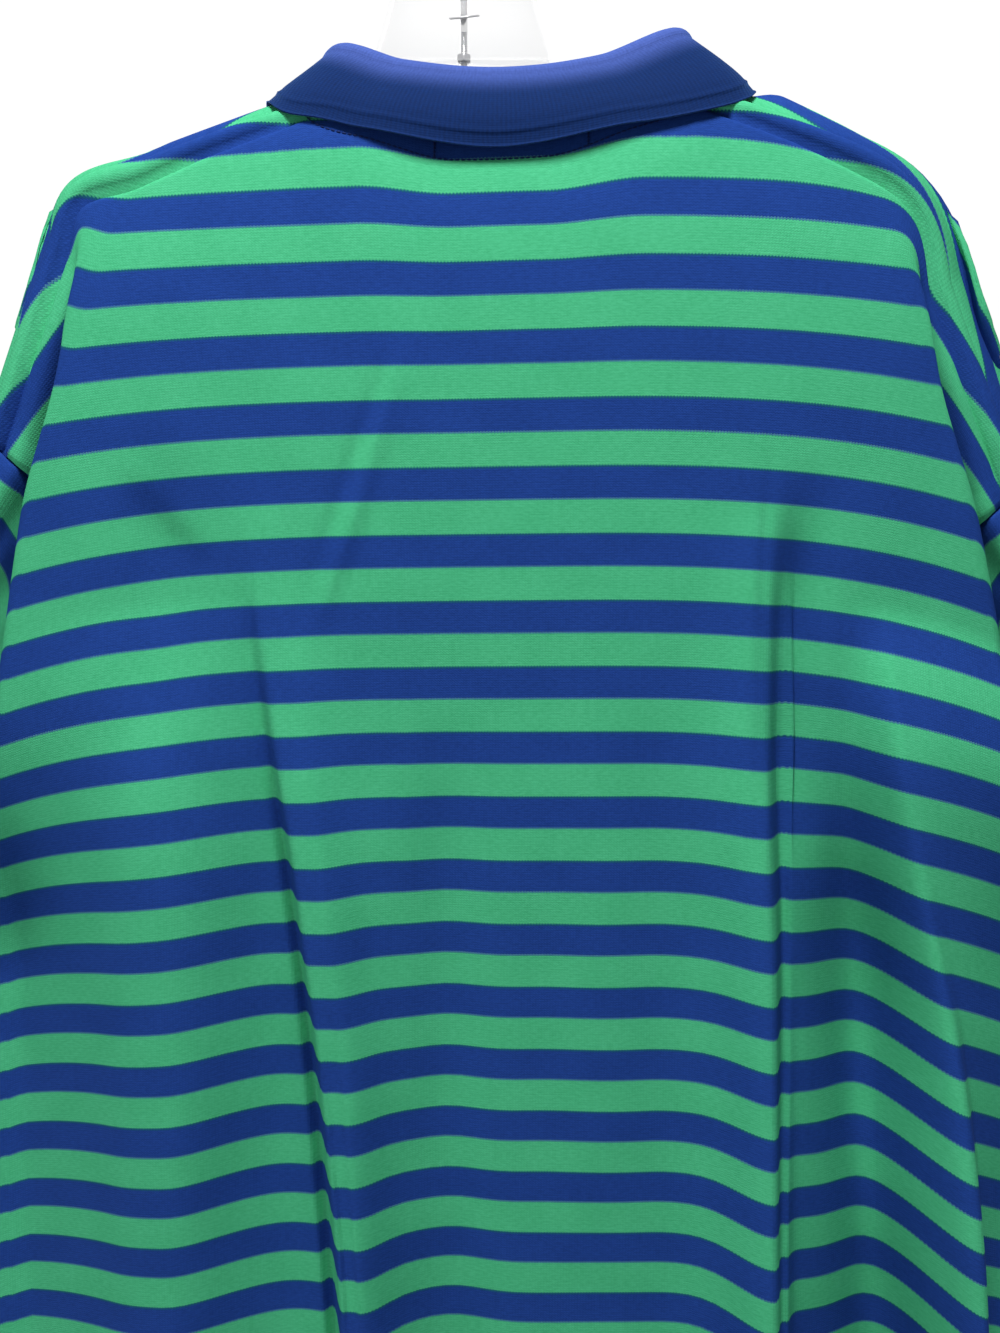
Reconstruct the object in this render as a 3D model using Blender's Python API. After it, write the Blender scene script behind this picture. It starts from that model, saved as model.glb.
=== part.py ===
"""Striped polo shirt hanging on a clear torso form with a metal hook.

Lengths are in centimetres and become metres where a mesh is made. +Z is up,
the wearer's front faces -Y and the wearer's left is +X. The origin is the
highest point of the inside of the hook, where a rail carries it.
"""

from math import cos, pi, radians, sin

import bmesh
import bpy
import numpy as np
from mathutils import Matrix

CM = 0.01

# The cut of the shirt, laid flat.
NECK_HALF = 8.6          # centre back to the neck point
NECK_DROP_BACK = 1.9
NECK_DROP_FRONT = 9.0
SHOULDER_HALF = 31.0     # centre back to the sleeve seam
SHOULDER_DROP = 7.4
CHEST_HALF = 32.5        # centre back to the side seam
ARMPIT = 29.0            # neck point to the bottom of the armhole
LENGTH = 79.0            # neck point to the hem
SLEEVE_LENGTH = 24.0
CLOTH = 0.16             # wall of the knit
SEAM_GAP = 0.04          # clearance between pieces at a seam

# How it hangs.
NECK_Z = -13.9           # height of the neck point
BACK_Y = 5.5             # plane of the back
SHIRT_X = -1.7           # the shirt hangs a little to one side of the hook
SHIRT_Y = 1.1            # and a little behind it
SIDE_Y = -2.6            # plane of the side seams
SEAM_DIP = 2.3           # how far the shoulder seam lies in front of the back

# Where each panel folds under itself beside the sleeve: at a depth below the
# neck point, the place of the fold edge, the cloth there, the cloth where the
# sleeve side comes out again, and how much lower than a flat back it hangs.
EDGE_COLUMNS = ("depth", "edge_x", "edge_cloth", "sleeve_cloth", "sag")
EDGES = {
    +1: (
        (0.0, 13.8, 13.8, 19.4, 0.0),
        (3.0, 15.9, 15.9, 21.6, 0.0),
        (5.9, 17.4, 17.6, 22.2, 0.0),
        (8.9, 18.6, 19.6, 25.8, 0.3),
        (11.9, 19.9, 21.8, 28.1, 0.7),
        (14.9, 21.0, 23.7, 30.3, 1.1),
        (17.9, 21.8, 25.2, 31.4, 1.6),
        (21.0, 22.5, 26.4, 32.0, 2.0),
        (29.0, 23.9, 27.9, 32.5, 2.7),
        (40.0, 24.5, 28.3, 32.5, 2.9),
        (57.0, 24.9, 28.5, 32.5, 2.8),
        (79.0, 25.0, 28.5, 32.5, 1.6),
    ),
    -1: (
        (0.0, 14.0, 14.0, 20.4, 0.0),
        (3.0, 16.2, 16.2, 22.4, 0.0),
        (5.9, 17.5, 17.7, 21.8, 0.3),
        (8.9, 18.6, 19.7, 25.3, 0.6),
        (11.9, 19.7, 21.6, 27.8, 1.0),
        (14.9, 20.8, 23.5, 30.3, 1.5),
        (17.9, 21.8, 25.1, 31.4, 2.0),
        (21.0, 22.7, 26.4, 32.0, 2.5),
        (29.0, 23.6, 27.6, 32.5, 2.9),
        (40.0, 24.0, 28.0, 32.5, 3.8),
        (57.0, 24.4, 28.2, 32.5, 3.6),
        (79.0, 24.8, 28.2, 32.5, 2.2),
    ),
}
SEAM_EDGE = 17.3         # the fold edge followed up to the shoulder seam
# Past the end of the form the shoulder turns down about a point of the cloth.
TURNS = {
    +1: {"cloth": (19.8, 4.0), "place": (19.9, -4.0), "turn": radians(52.0)},
    -1: {"cloth": (21.9, 4.4), "place": (21.0, -8.2), "turn": radians(50.0)},
}
# The armhole below the part that shows: depth, the seam's place and height
# measured from its place at the first row, the slope of the cloth there, and
# how far back its back half and its front half lie.
ARMHOLE_COLUMNS = ("depth", "across", "height", "turn", "back_y", "front_y")
ARMHOLE = (
    (7.4, 0.0, 0.0, 52.0, 3.7, 1.4),
    (10.4, 0.0, 0.0, 50.0, 2.9, -1.4),
    (13.0, -1.1, -2.2, 30.0, 1.2, -2.8),
    (16.0, -1.2, -5.2, 10.0, 0.0, -3.9),
    (20.0, -0.5, -9.2, -5.0, -0.6, -4.6),
    (24.0, 0.6, -12.9, -20.0, -1.0, -4.5),
    (29.0, 2.0, -17.4, -25.0, -2.6, -2.6),
)

CREASE = 1.8             # width of the steep side of a sharp crease
# Long folds of the back: place at several depths, and how far each stands out.
# A fold is a ridge with a steep flank on one side and a long one on the other.
FOLD_COLUMNS = ("depth", "place", "height", "width")
BACK_FOLDS = {
    "left swell": (
        (22.0, 15.6, 0.0, 3.0), (29.0, 15.6, 1.3, 3.4), (34.0, 15.6, 2.0, 3.2),
        (42.0, 15.6, 2.1, 2.9), (54.0, 16.0, 1.9, 2.7), (79.0, 16.4, 1.8, 2.7),
    ),
    "left crease": (
        (16.6, 12.0, 0.0, 1.6), (24.0, 10.8, 0.4, 1.6), (28.4, 10.2, 0.9, 1.6),
        (33.0, 9.5, 1.5, 1.6), (40.5, 8.4, 2.0, 1.6), (50.8, 7.3, 2.5, 1.6),
        (79.0, 5.8, 2.8, 1.8),
    ),
    "right ridge": (
        (18.0, -11.8, 0.0, 2.2), (28.0, -11.9, 1.0, 2.2), (34.0, -12.1, 2.0, 2.1),
        (40.0, -12.4, 2.7, 2.1), (46.0, -12.5, 3.3, 2.1), (54.0, -12.6, 4.0, 2.2),
        (79.0, -12.6, 4.3, 2.3),
    ),
    "right shelf": (
        (20.0, -13.5, 0.0, 1.4), (30.0, -13.5, 0.4, 1.5), (40.0, -13.6, 0.7, 1.6),
        (50.0, -13.5, 1.5, 2.5), (79.0, -13.4, 1.8, 2.8),
    ),
    "right trough": (
        (20.0, -16.8, 0.0, 1.8), (30.0, -16.8, 0.6, 1.8), (40.0, -17.3, 1.7, 1.9),
        (50.0, -17.4, 1.2, 1.9), (79.0, -17.4, 1.0, 1.9),
    ),
    "right flank": (
        (22.0, -18.0, 0.0, 1.3), (28.0, -18.4, 2.4, 1.4), (33.0, -19.2, 3.4, 1.6),
        (40.0, -20.9, 4.9, 2.1), (50.0, -22.2, 7.0, 2.6), (58.0, -22.6, 7.6, 2.2),
        (79.0, -23.0, 7.8, 2.4),
    ),
}

# The front: how far it swells forward at the centre, and the cloth it lifts.
SWELL = (
    (0.0, 0.0), (3.0, 2.0), (6.0, 4.8), (9.0, 6.8), (14.0, 8.8), (20.0, 10.2),
    (28.0, 11.4), (40.0, 11.8), (79.0, 10.4),
)
FRONT_LIFT = 3.8
RIGHT_LIFT = 1.3         # the front stands a little higher on the wearer's right
FRONT_FOLDS = (          # place, height, width, depth where it starts
    (-16.5, 1.1, 2.6, 20.0),
    (-6.2, -0.8, 2.2, 34.0),
    (5.4, 0.7, 2.4, 30.0),
    (14.8, 1.2, 2.5, 18.0),
)

# The sleeve's opening: its centre from the neck point, half widths, tilt.
CUFF = {"across": 28.3, "height": -40.4, "half_x": 2.2, "half_y": 8.2, "right": 0.7}

# The collar. Each row is a place round the neck, from one front end (-1) past
# the centre back (0) to the other; the fold line and the free edge pass there.
# Heights are measured from the neck point.
COLLAR_COLUMNS = ("round", "fold_x", "fold_y", "fold_z", "edge_x", "edge_y", "edge_z")
COLLAR = (
    (-1.00, -1.3, -8.0, -3.6, -4.6, -10.6, -8.6),
    (-0.80, -5.6, -5.9, -1.9, -8.2, -8.7, -6.0),
    (-0.60, -8.1, -1.9, 1.2, -11.5, -3.8, -1.8),
    (-0.42, -8.2, 2.0, 3.1, -11.4, 1.9, 0.5),
    (-0.22, -4.4, 3.5, 1.6, -6.2, 4.5, -1.2),
    (0.00, 0.0, 3.6, 1.05, 0.0, 4.9, -2.5),
    (0.22, 4.2, 3.5, 1.4, 6.0, 4.5, -1.6),
    (0.42, 7.4, 2.0, 2.4, 10.1, 1.9, -0.4),
    (0.60, 8.2, -1.9, 0.8, 10.7, -3.8, -2.6),
    (0.80, 5.5, -5.9, -1.9, 8.2, -8.7, -6.0),
    (1.00, 1.3, -8.0, -3.6, 4.6, -10.6, -8.6),
)
NECK_SHARE = 0.42        # share of the collar's half that lies on the back

# The torso form: height below the hook, half width, half depth, the middle of
# its depth and how square each section is.
FORM_COLUMNS = ("height", "half_width", "half_depth", "middle", "power")
FORM = (
    (-6.2, 3.15, 3.15, 0.0, 2.0),
    (-9.0, 3.7, 3.7, 0.0, 2.0),
    (-11.2, 4.4, 4.3, 0.0, 2.0),
    (-12.9, 4.8, 4.2, 0.0, 2.0),
    (-14.3, 5.7, 4.0, 0.0, 2.0),
    (-15.5, 8.6, 3.9, 0.0, 2.1),
    (-16.7, 12.8, 3.9, -0.1, 2.2),
    (-18.3, 16.0, 4.1, -0.3, 2.3),
    (-20.1, 17.2, 4.6, -0.6, 2.4),
    (-23.5, 17.5, 5.3, -0.9, 2.4),
    (-29.5, 17.0, 5.9, -1.4, 2.4),
    (-36.5, 16.2, 6.3, -1.8, 2.3),
    (-45.5, 15.0, 6.1, -1.8, 2.3),
    (-55.5, 14.2, 5.8, -1.8, 2.2),
    (-67.5, 15.2, 5.9, -2.0, 2.2),
    (-77.5, 16.0, 6.0, -2.2, 2.2),
)
FORM_WALL = 0.25
FORM_LIFT = 1.27         # the form's shoulders, raised to carry the cloth
FORM_TILT = 0.8          # and higher on the wearer's right

# The hanger.
ROD = 0.17               # radius of the hook's wire
HOOK_RADIUS = 2.1        # inside of the hook
PLATE_Z = -11.34         # top of the plate that crosses the form's neck
PLATE = {"half_x": 4.09, "half_y": 1.0, "thick": 0.16}
NUT = {"radius": 0.34, "height": 0.36}
WASHER = {"above": 2.1, "radius": 0.75, "thick": 0.1, "lean": 15.0, "dip": 6.0}


def smooth(start, end, x):
    t = np.clip((np.asarray(x, float) - start) / (end - start), 0.0, 1.0)
    return t * t * (3.0 - 2.0 * t)


def column(rows, index, x):
    """A smooth curve through one column of a table, read at x."""
    rows = np.asarray(rows, float)
    knots, values = rows[:, 0], rows[:, index]
    slopes = np.gradient(values, knots)
    x = np.clip(np.asarray(x, float), knots[0], knots[-1])
    i = np.clip(np.searchsorted(knots, x, side="right") - 1, 0, len(knots) - 2)
    span = knots[i + 1] - knots[i]
    t = (x - knots[i]) / span
    a = values[i] * (1 + 2 * t) * (1 - t) ** 2 + slopes[i] * span * t * (1 - t) ** 2
    b = values[i + 1] * t * t * (3 - 2 * t) - slopes[i + 1] * span * t * t * (1 - t)
    return a + b


def seam_depth(u, neck_drop):
    """Depth of the top edge of a panel below the neck point."""
    u = np.abs(np.asarray(u, float))
    slope = SHOULDER_DROP / (SHOULDER_HALF - NECK_HALF)
    inside = np.clip(u / NECK_HALF, 0.0, 1.0)
    neck = neck_drop * np.sqrt(np.clip(1.0 - inside ** 2.0, 0.0, 1.0))
    return np.where(u < NECK_HALF, neck, slope * (u - NECK_HALF))


def half_width(v):
    """Centre to the sleeve or side seam in the flat cut."""
    t = np.clip((v - SHOULDER_DROP) / (ARMPIT - SHOULDER_DROP), 0.0, 1.0)
    return SHOULDER_HALF + (CHEST_HALF - SHOULDER_HALF) * t


def below_seam(u, v):
    """Distance below the line of the shoulder seam, across the seam."""
    slope = SHOULDER_DROP / (SHOULDER_HALF - NECK_HALF)
    size = np.abs(u)
    line = slope * np.maximum(size - NECK_HALF, 0.0)
    lean = 1.0 - 0.05 * smooth(NECK_HALF - 3.0, NECK_HALF + 2.0, size)
    return np.maximum(v - line, 0.0) * lean


def armhole(v, side):
    """Place and height of the armhole seam, and the slope of the cloth there."""
    turn = TURNS[side]
    angle = turn["turn"]
    du = half_width(v) - turn["cloth"][0]
    dv = np.minimum(v, ARMHOLE[1][0]) - turn["cloth"][1]
    x = turn["place"][0] + du * cos(angle) - dv * sin(angle)
    z = turn["place"][1] - du * sin(angle) - dv * cos(angle)
    x = x + column(ARMHOLE, 1, v) * smooth(9.0, 11.0, v)
    z = z + column(ARMHOLE, 2, v) * smooth(9.0, 11.0, v)
    below = np.maximum(v - ARMPIT, 0.0)
    x = x + 1.7 * smooth(2.0, 26.0, below)
    z = z - below * 0.965
    return x, z, np.radians(column(ARMHOLE, 3, v)) + (angle - radians(52.0))


def crossing(u, v, side):
    """Place and height of the cloth, and its share of the sleeve side."""
    rows = EDGES[side]
    edge_x = column(rows, 1, v)
    edge_u = column(rows, 2, v)
    sleeve_u = column(rows, 3, v)
    span = np.clip(u / edge_u, 0.0, 1.25)
    flat_x = edge_x * span
    sag = column(rows, 4, v) * np.clip(span, 0.0, 1.0) ** 3.4
    flat_z = -v - sag
    arm_x, arm_z, angle = armhole(v, side)
    back = half_width(v) - u
    run = 1.0 - 0.75 * smooth(11.0, 17.0, v)
    side_x = arm_x - back * np.cos(angle) * run
    side_z = arm_z + back * np.sin(angle) * (1.0 - smooth(11.0, 17.0, v))
    below = smooth(ARMPIT - 6.0, ARMPIT + 4.0, v)
    side_x = side_x * (1 - below) + (arm_x - 0.15 * back) * below
    side_z = side_z * (1 - below) + (arm_z + 0.1 * back) * below
    w = smooth(edge_u, sleeve_u, u)
    x = flat_x * (1 - w) + side_x * w
    z = flat_z * (1 - w) + side_z * w
    return x, z, w


def hang(u, v):
    """Both panels share this: place, height, sleeve share, run below the seam."""
    parts = [crossing(np.abs(u), v, side) for side in (+1, -1)]
    left = u >= 0
    x, z, w = [np.where(left, a, b) for a, b in zip(*parts)]
    x = np.where(left, x, -x)
    t = below_seam(u, v)
    # The collar and the form lift the cloth beside the neck.
    beside = smooth(2.0, 6.5, np.abs(x)) * (1 - w)
    z = z + beside * (0.8 * np.exp(-np.maximum(v - 2.9, 0) / 3.3) - 0.5 * np.exp(-t / 1.5))
    z = z - np.tanh(x / 9.0) * (1 - w) * 0.45 * np.exp(-v / 14.0)
    return x, z, w, t


def bump(x, place, near, far):
    """A ridge at a place, falling off over one width on each side."""
    d = x - place
    return np.exp(-(d / np.where(d > 0, near, far)) ** 2)


def back_folds(x, v):
    """How far the long folds stand out from the flat back."""
    folds = {name: [column(rows, i, v) for i in (1, 2, 3)] for name, rows in BACK_FOLDS.items()}
    place, height, width = folds["left crease"]
    d = place - x
    step = height * smooth(-CREASE, 0, d) * np.exp(-(np.maximum(d - 0.8, 0) / width) ** 2)
    trough = 0.45 * height * np.exp(-((d + 2.4) / 2.6) ** 2)
    valley = 0.3 * height * np.exp(-((x - 2.2) / 2.0) ** 2)
    place, height, width = folds["left swell"]
    out = step - trough - valley + height * bump(x, place, 1.7 * width, width)
    place, height, width = folds["right ridge"]
    out = out + height * bump(x, place, width, CREASE / 2 + 0.4)
    place, height, width = folds["right shelf"]
    run = (place - x) / width
    out = out + height * smooth(-CREASE, 0, place - x) * np.exp(-np.maximum(run, 0) ** 2)
    place, height, width = folds["right trough"]
    out = out - height * bump(x, place, width, width)
    place, height, width = folds["right flank"]
    d = x - place
    beyond = 1 - (2.4 / 7.0) * smooth(30.0, 54.0, v) * smooth(0.0, CREASE, -d)
    return out + height * np.where(d > 0, np.exp(-(d / width) ** 2), beyond)


def back_level(size, v):
    """Depth of the back before its folds: flat, and falling to the sides."""
    fall = np.clip(size / 18.4, 0, 1.3)
    share = smooth(24.0, 38.0, v)
    drop = 1.6 * fall ** 2.2 * (1 - share) + 2.5 * fall ** 3.0 * share
    return BACK_Y - 0.02 * v - drop * smooth(0.0, 9.0, v + 3.0)


def edge_of(index, v, left):
    """A column of the edge table, of the side a point lies on."""
    return np.where(left, column(EDGES[+1], index, v), column(EDGES[-1], index, v))


def side_run(level, u, v, left):
    """Depth between the fold edge and the side seam, below the armhole."""
    width = half_width(v)
    gone = (width - np.abs(u)) / (width - edge_of(2, v, left))
    return SIDE_Y + (level - SIDE_Y) * np.clip(gone, 0.0, 1.6)


def back_depth(x, w, t, u, v):
    flat = back_level(np.abs(x), v)
    below = smooth(ARMPIT - 6.0, ARMPIT + 4.0, v)
    side = side_run(back_level(edge_of(1, v, u >= 0), v), u, v, u >= 0)
    arm = column(ARMHOLE, 4, v) * (1 - below) + side * below
    y = flat * (1 - w) + arm * w - SEAM_DIP * np.exp(-t / 3.0)
    return y + back_folds(x, v) * (1 - w)


def edge_near(x, z):
    """At a height, the fold edge of that side and how near a place is to it."""
    left = x >= 0
    depth = np.maximum(-z - edge_of(4, -z - 1.0, left), 2.0)
    edge = edge_of(1, depth, left)
    near = smooth(edge + 1.5, edge, np.abs(x)) * smooth(-6.0, -8.5, z)
    return edge, depth, near


def under(edge, x):
    """How far under a fold edge the cloth behind it lies."""
    return 0.95 + 1.0 * smooth(edge + 0.2, edge - 1.8, np.abs(x))


def behind_back_edge(x, y, z, layer):
    """How far forward cloth must go to pass under the edge of the back."""
    edge, depth, near = edge_near(x, z)
    level = back_level(edge, depth) - SEAM_DIP * np.exp(-(depth - 4.0) / 3.0)
    return near * np.maximum(y - level + under(edge, x) + 0.9 * layer, 0.0)


def before_front_edge(x, y, z, layer):
    """How far back cloth must go to pass under the edge of the front."""
    edge, depth, near = edge_near(x, z)
    forward, lift = over_shoulder(np.maximum(depth - 4.0, 0.0))
    swell = column(SWELL, 1, depth - 3.0) * (1 - 0.72 * (edge / 24.0) ** 2.2)
    level = 1.5 - forward - swell
    return near * np.maximum(level + under(edge, x) + 0.9 * layer - y, 0.0)


def back_surface(u, v):
    """The outer face of the back panel for a point of the flat cut."""
    u, v = np.broadcast_arrays(np.asarray(u, float), np.asarray(v, float))
    x, z, w, t = hang(u, v)
    y = back_depth(x, w, t, u, v)
    y = y - behind_back_edge(x, y, z, smooth(0.45, 0.95, w)) * smooth(0.08, 0.7, w)
    return np.stack([x, y, z], axis=-1)


def over_shoulder(t):
    """How far cloth past the seam has gone forward, and what it has not dropped."""
    steps = np.linspace(0.0, 14.0, 281)
    slope = np.interp(steps, (0.0, 1.6, 6.0, 14.0), np.radians((40.0, 0.0, -78.0, -88.0)))
    forward = np.concatenate([[0.0], np.cumsum(np.cos(slope[1:]) * 0.05)])
    drop = np.concatenate([[0.0], np.cumsum(-np.sin(slope[1:]) * 0.05)])
    return np.interp(t, steps, forward), np.interp(t, steps, steps - drop)


def front_surface(u, v):
    """The outer face of the front panel for a point of the flat cut."""
    u, v = np.broadcast_arrays(np.asarray(u, float), np.asarray(v, float))
    x, z, w, t = hang(u, v)
    line = seam_depth(np.maximum(np.abs(u), NECK_HALF), 0.0)
    edge_x, edge_z, edge_w, edge_t = hang(u, line)
    start = back_depth(edge_x, edge_w, edge_t, u, line)
    forward, lift = over_shoulder(t)
    swell = column(SWELL, 1, v - line)
    flat = start - forward - swell * (1 - 0.72 * np.clip(np.abs(x) / 24.0, 0.0, 1.1) ** 2.2)
    for place, height, width, start_v in FRONT_FOLDS:
        flat = flat - height * smooth(start_v, start_v + 26.0, v) * bump(x, place, width, width)
    below = smooth(ARMPIT - 6.0, ARMPIT + 4.0, v)
    edge = edge_of(1, v, u >= 0) / 24.0
    side = side_run(start - forward - swell * (1 - 0.72 * edge ** 2.2), u, v, u >= 0)
    arm = column(ARMHOLE, 5, v) * (1 - below) + side * below
    w_y = w * smooth(0.3, 3.0, t)
    y = flat * (1 - w_y) + arm * w_y
    keep = 1 - smooth(9.0, 17.0, v) * w - smooth(15.0, 30.0, v) * smooth(13.0, 24.0, np.abs(x)) * (1 - w)
    lift = lift * FRONT_LIFT / 3.8 * np.clip(keep, 0, 1)
    lift = lift + RIGHT_LIFT * smooth(0.0, 2.2, t) * np.exp(-t / 7.0) * smooth(-10.7, -13.2, u)
    angle = radians(51.0) * w
    x = x + np.sign(u) * lift * np.sin(angle)
    z = z + lift * np.cos(angle) * (1 - 0.5 * smooth(30.0, 79.0, v))
    y = y + before_front_edge(x, y, z, smooth(0.45, 0.95, w)) * smooth(0.08, 0.7, w)
    return np.stack([x, y, z], axis=-1)


def armhole_loop(down, side, inset):
    """Points round the armhole: from the shoulder tip down the back, then up."""
    v = np.concatenate([down, down[-2:0:-1]])
    f = (v - SHOULDER_DROP) / (ARMPIT - SHOULDER_DROP) / 2
    f[len(down):] = 1 - f[len(down):]
    u = side * (half_width(v) - inset)
    back, front = back_surface(u, v), front_surface(u, v)
    points = np.where((f <= 0.5)[:, None], back, front)
    return points, f, v


def sleeve_surface(side, down, along):
    """Rings from the armhole to the cuff; each is a closed loop of points."""
    start, f, v = armhole_loop(down, side, 0.0)
    start = start * (side, 1, 1)
    angle = np.radians(column(ARMHOLE, 3, v))
    turn = 2 * pi * f
    more = CUFF["right"] if side < 0 else 0.0
    centre = np.array([CUFF["across"] + more, SIDE_Y + 0.4, CUFF["height"] - more])
    out = np.cos(turn)
    ring = np.stack([
        centre[0] + CUFF["half_x"] * out,
        centre[1] + CUFF["half_y"] * np.sin(turn),
        centre[2] + CUFF["half_x"] * out * 0.5,
    ], axis=-1)
    lower = smooth(0.35, 1.0, np.where(f <= 0.5, 2 * f, 2 * (1 - f)))
    leave = np.stack([
        np.cos(angle) * (1 - lower) + 0.9 * lower,
        0.0 * f,
        -np.sin(np.maximum(angle, 0.0)) * (1 - lower) - 0.45 * lower,
    ], axis=-1)
    folded = smooth(11.0, 14.0, v) * smooth(29.0, 26.5, v)
    start = start + leave * (SEAM_GAP + 0.02)
    start[:, 1] = start[:, 1] - 0.2 * folded * np.where(f <= 0.5, 1, -1)
    arrive = np.array([0.14, 0.0, -0.99])
    reach = np.linalg.norm(ring - start, axis=1)[:, None]
    rows = []
    for t in along:
        a = (1 + 2 * t) * (1 - t) ** 2
        b = t * (1 - t) ** 2
        c = t * t * (3 - 2 * t)
        d = -t * t * (1 - t)
        rows.append(a * start + b * leave * reach * 0.9 + c * ring + d * arrive * reach * 0.9)
    grid = np.array(rows) * (side, 1, 1)
    x, y, z = grid[..., 0], grid[..., 1], grid[..., 2]
    y = y - behind_back_edge(x, y, z, 1.3) + before_front_edge(x, y, z, 1.3)
    return np.stack([x, y, z], axis=-1)


def neck_seam(s):
    """The neck seam at a signed share of the way round from centre back."""
    s = np.asarray(s, float)
    size = np.abs(s)
    on_back = size <= NECK_SHARE
    turn = np.where(on_back, size / NECK_SHARE, (1 - size) / (1 - NECK_SHARE))
    u = np.sign(s) * NECK_HALF * np.sin(turn * pi / 2)
    u = np.where(on_back, u, np.sign(s) * np.maximum(np.abs(u), 0.15))
    back = back_surface(u, seam_depth(u, NECK_DROP_BACK))
    front = front_surface(u, seam_depth(u, NECK_DROP_FRONT))
    return np.where(on_back[:, None], back, front)


def collar_surface(around, through):
    """The collar from its seam up the stand, over the fold and down the fall."""
    s = np.asarray(around, float)
    base = neck_seam(s)
    fold = np.stack([column(COLLAR, i, s) for i in (1, 2, 3)], axis=-1)
    edge = np.stack([column(COLLAR, i, s) for i in (4, 5, 6)], axis=-1)
    away = edge - fold
    away[:, 2] = 0.0
    away = away / np.linalg.norm(away, axis=1)[:, None]
    up = np.array([0.0, 0.0, 1.0])
    rise = fold - base
    base = base + 0.16 * rise / np.linalg.norm(rise, axis=1)[:, None] - 0.3 * away
    inner = fold - away * 0.28 - up * 0.3
    outer = fold + away * 0.28 - up * 0.3
    rows = []
    for t in through:
        if t < 0.42:
            k = t / 0.42
            point = base + (inner - base) * k - away * 0.25 * sin(pi * k)
        elif t < 0.58:
            k = pi * (t - 0.42) / 0.16
            point = fold - away * 0.28 * cos(k) + up * (0.3 * sin(k) - 0.3)
        else:
            k = (t - 0.58) / 0.42
            point = outer + (edge - outer) * k + away * 0.35 * sin(pi * k)
        rows.append(point)
    return np.array(rows)


# ---- build ----

def to_world(points):
    """Shirt measure to the part's own place, in metres."""
    return (np.asarray(points) + (SHIRT_X, SHIRT_Y, NECK_Z)) * CM


def new_object(name, points, faces, finish):
    """A closed mesh in its own colour, faces turned outward."""
    mesh = bpy.data.meshes.new(name)
    mesh.from_pydata([tuple(p) for p in points], [], faces)
    body = bmesh.new()
    body.from_mesh(mesh)
    bmesh.ops.triangulate(body, faces=body.faces[:])
    bmesh.ops.recalc_face_normals(body, faces=body.faces[:])
    body.to_mesh(mesh)
    body.free()
    mesh.materials.append(material(name, finish))
    piece = bpy.data.objects.new(name, mesh)
    bpy.context.scene.collection.objects.link(piece)
    return piece


def material(name, finish):
    colour, roughness, metallic = finish
    made = bpy.data.materials.new(name)
    made.use_nodes = True
    shader = made.node_tree.nodes["Principled BSDF"]
    shader.inputs["Base Color"].default_value = (*colour, 1.0)
    shader.inputs["Roughness"].default_value = roughness
    shader.inputs["Metallic"].default_value = metallic
    return made


def grid_normals(grid, closed):
    """Unit normals of a grid of points, from its neighbours both ways."""
    if closed:
        across = np.roll(grid, -1, axis=1) - np.roll(grid, 1, axis=1)
    else:
        across = np.gradient(grid, axis=1)
    down = np.gradient(grid, axis=0)
    normal = np.cross(down, across)
    length = np.linalg.norm(normal, axis=-1, keepdims=True)
    return normal / np.maximum(length, 1e-9)


def surface_normals(surface, u, v, way):
    """The way a panel faces, felt just inside its own edges."""
    step = 0.25
    width = half_width(v)
    near, far = np.clip(u - step, -width, width), np.clip(u + step, -width, width)
    across = (surface(far, v) - surface(near, v)) / (far - near)[..., None]
    normal = np.cross(surface(u, v + step) - surface(u, v), across) * way
    normal = normal / np.linalg.norm(normal, axis=-1, keepdims=True)
    seam = smooth(0.5, 0.1, width - np.abs(u)) * smooth(ARMPIT - 0.6, ARMPIT, v)
    normal[..., 1] = normal[..., 1] * (1 - seam)
    return normal / np.linalg.norm(normal, axis=-1, keepdims=True)


def cloth_piece(name, grid, finish, thick=CLOTH, closed=False, flip=False, normal=None):
    """A wall of cloth: the outer face is the grid, the inner lies under it."""
    if normal is None:
        normal = grid_normals(grid, closed) * (-1 if flip else 1)
    rows, cols = grid.shape[:2]
    outer = grid.reshape(-1, 3)
    inner = (grid - normal * thick).reshape(-1, 3)
    points = np.concatenate([to_world(outer), to_world(inner)])
    under = rows * cols

    def at(r, c):
        return r * cols + c % cols

    faces = []
    wide = cols if closed else cols - 1
    for r in range(rows - 1):
        for c in range(wide):
            a, b, d, e = at(r, c), at(r, c + 1), at(r + 1, c + 1), at(r + 1, c)
            faces.append((a, b, d, e))
            faces.append((e + under, d + under, b + under, a + under))
    for c in range(wide):
        a, b = at(0, c), at(0, c + 1)
        faces.append((b, a, a + under, b + under))
        a, b = at(rows - 1, c), at(rows - 1, c + 1)
        faces.append((a, b, b + under, a + under))
    if not closed:
        for r in range(rows - 1):
            a, b = at(r, 0), at(r + 1, 0)
            faces.append((a, b, b + under, a + under))
            a, b = at(r, cols - 1), at(r + 1, cols - 1)
            faces.append((b, a, a + under, b + under))
    return new_object(name, points, faces, finish)


def revolve(name, profile, finish, sides=32, twist=0.0):
    """A ring turned about the upright line through the hook."""
    points, faces = [], []
    count = len(profile)
    for i in range(sides):
        turn = 2 * pi * i / sides + twist
        for radius, height in profile:
            points.append((radius * cos(turn) * CM, radius * sin(turn) * CM, height * CM))
    for i in range(sides):
        j = (i + 1) % sides
        for k in range(count):
            m = (k + 1) % count
            faces.append((i * count + k, j * count + k, j * count + m, i * count + m))
    return new_object(name, points, faces, finish)


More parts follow.
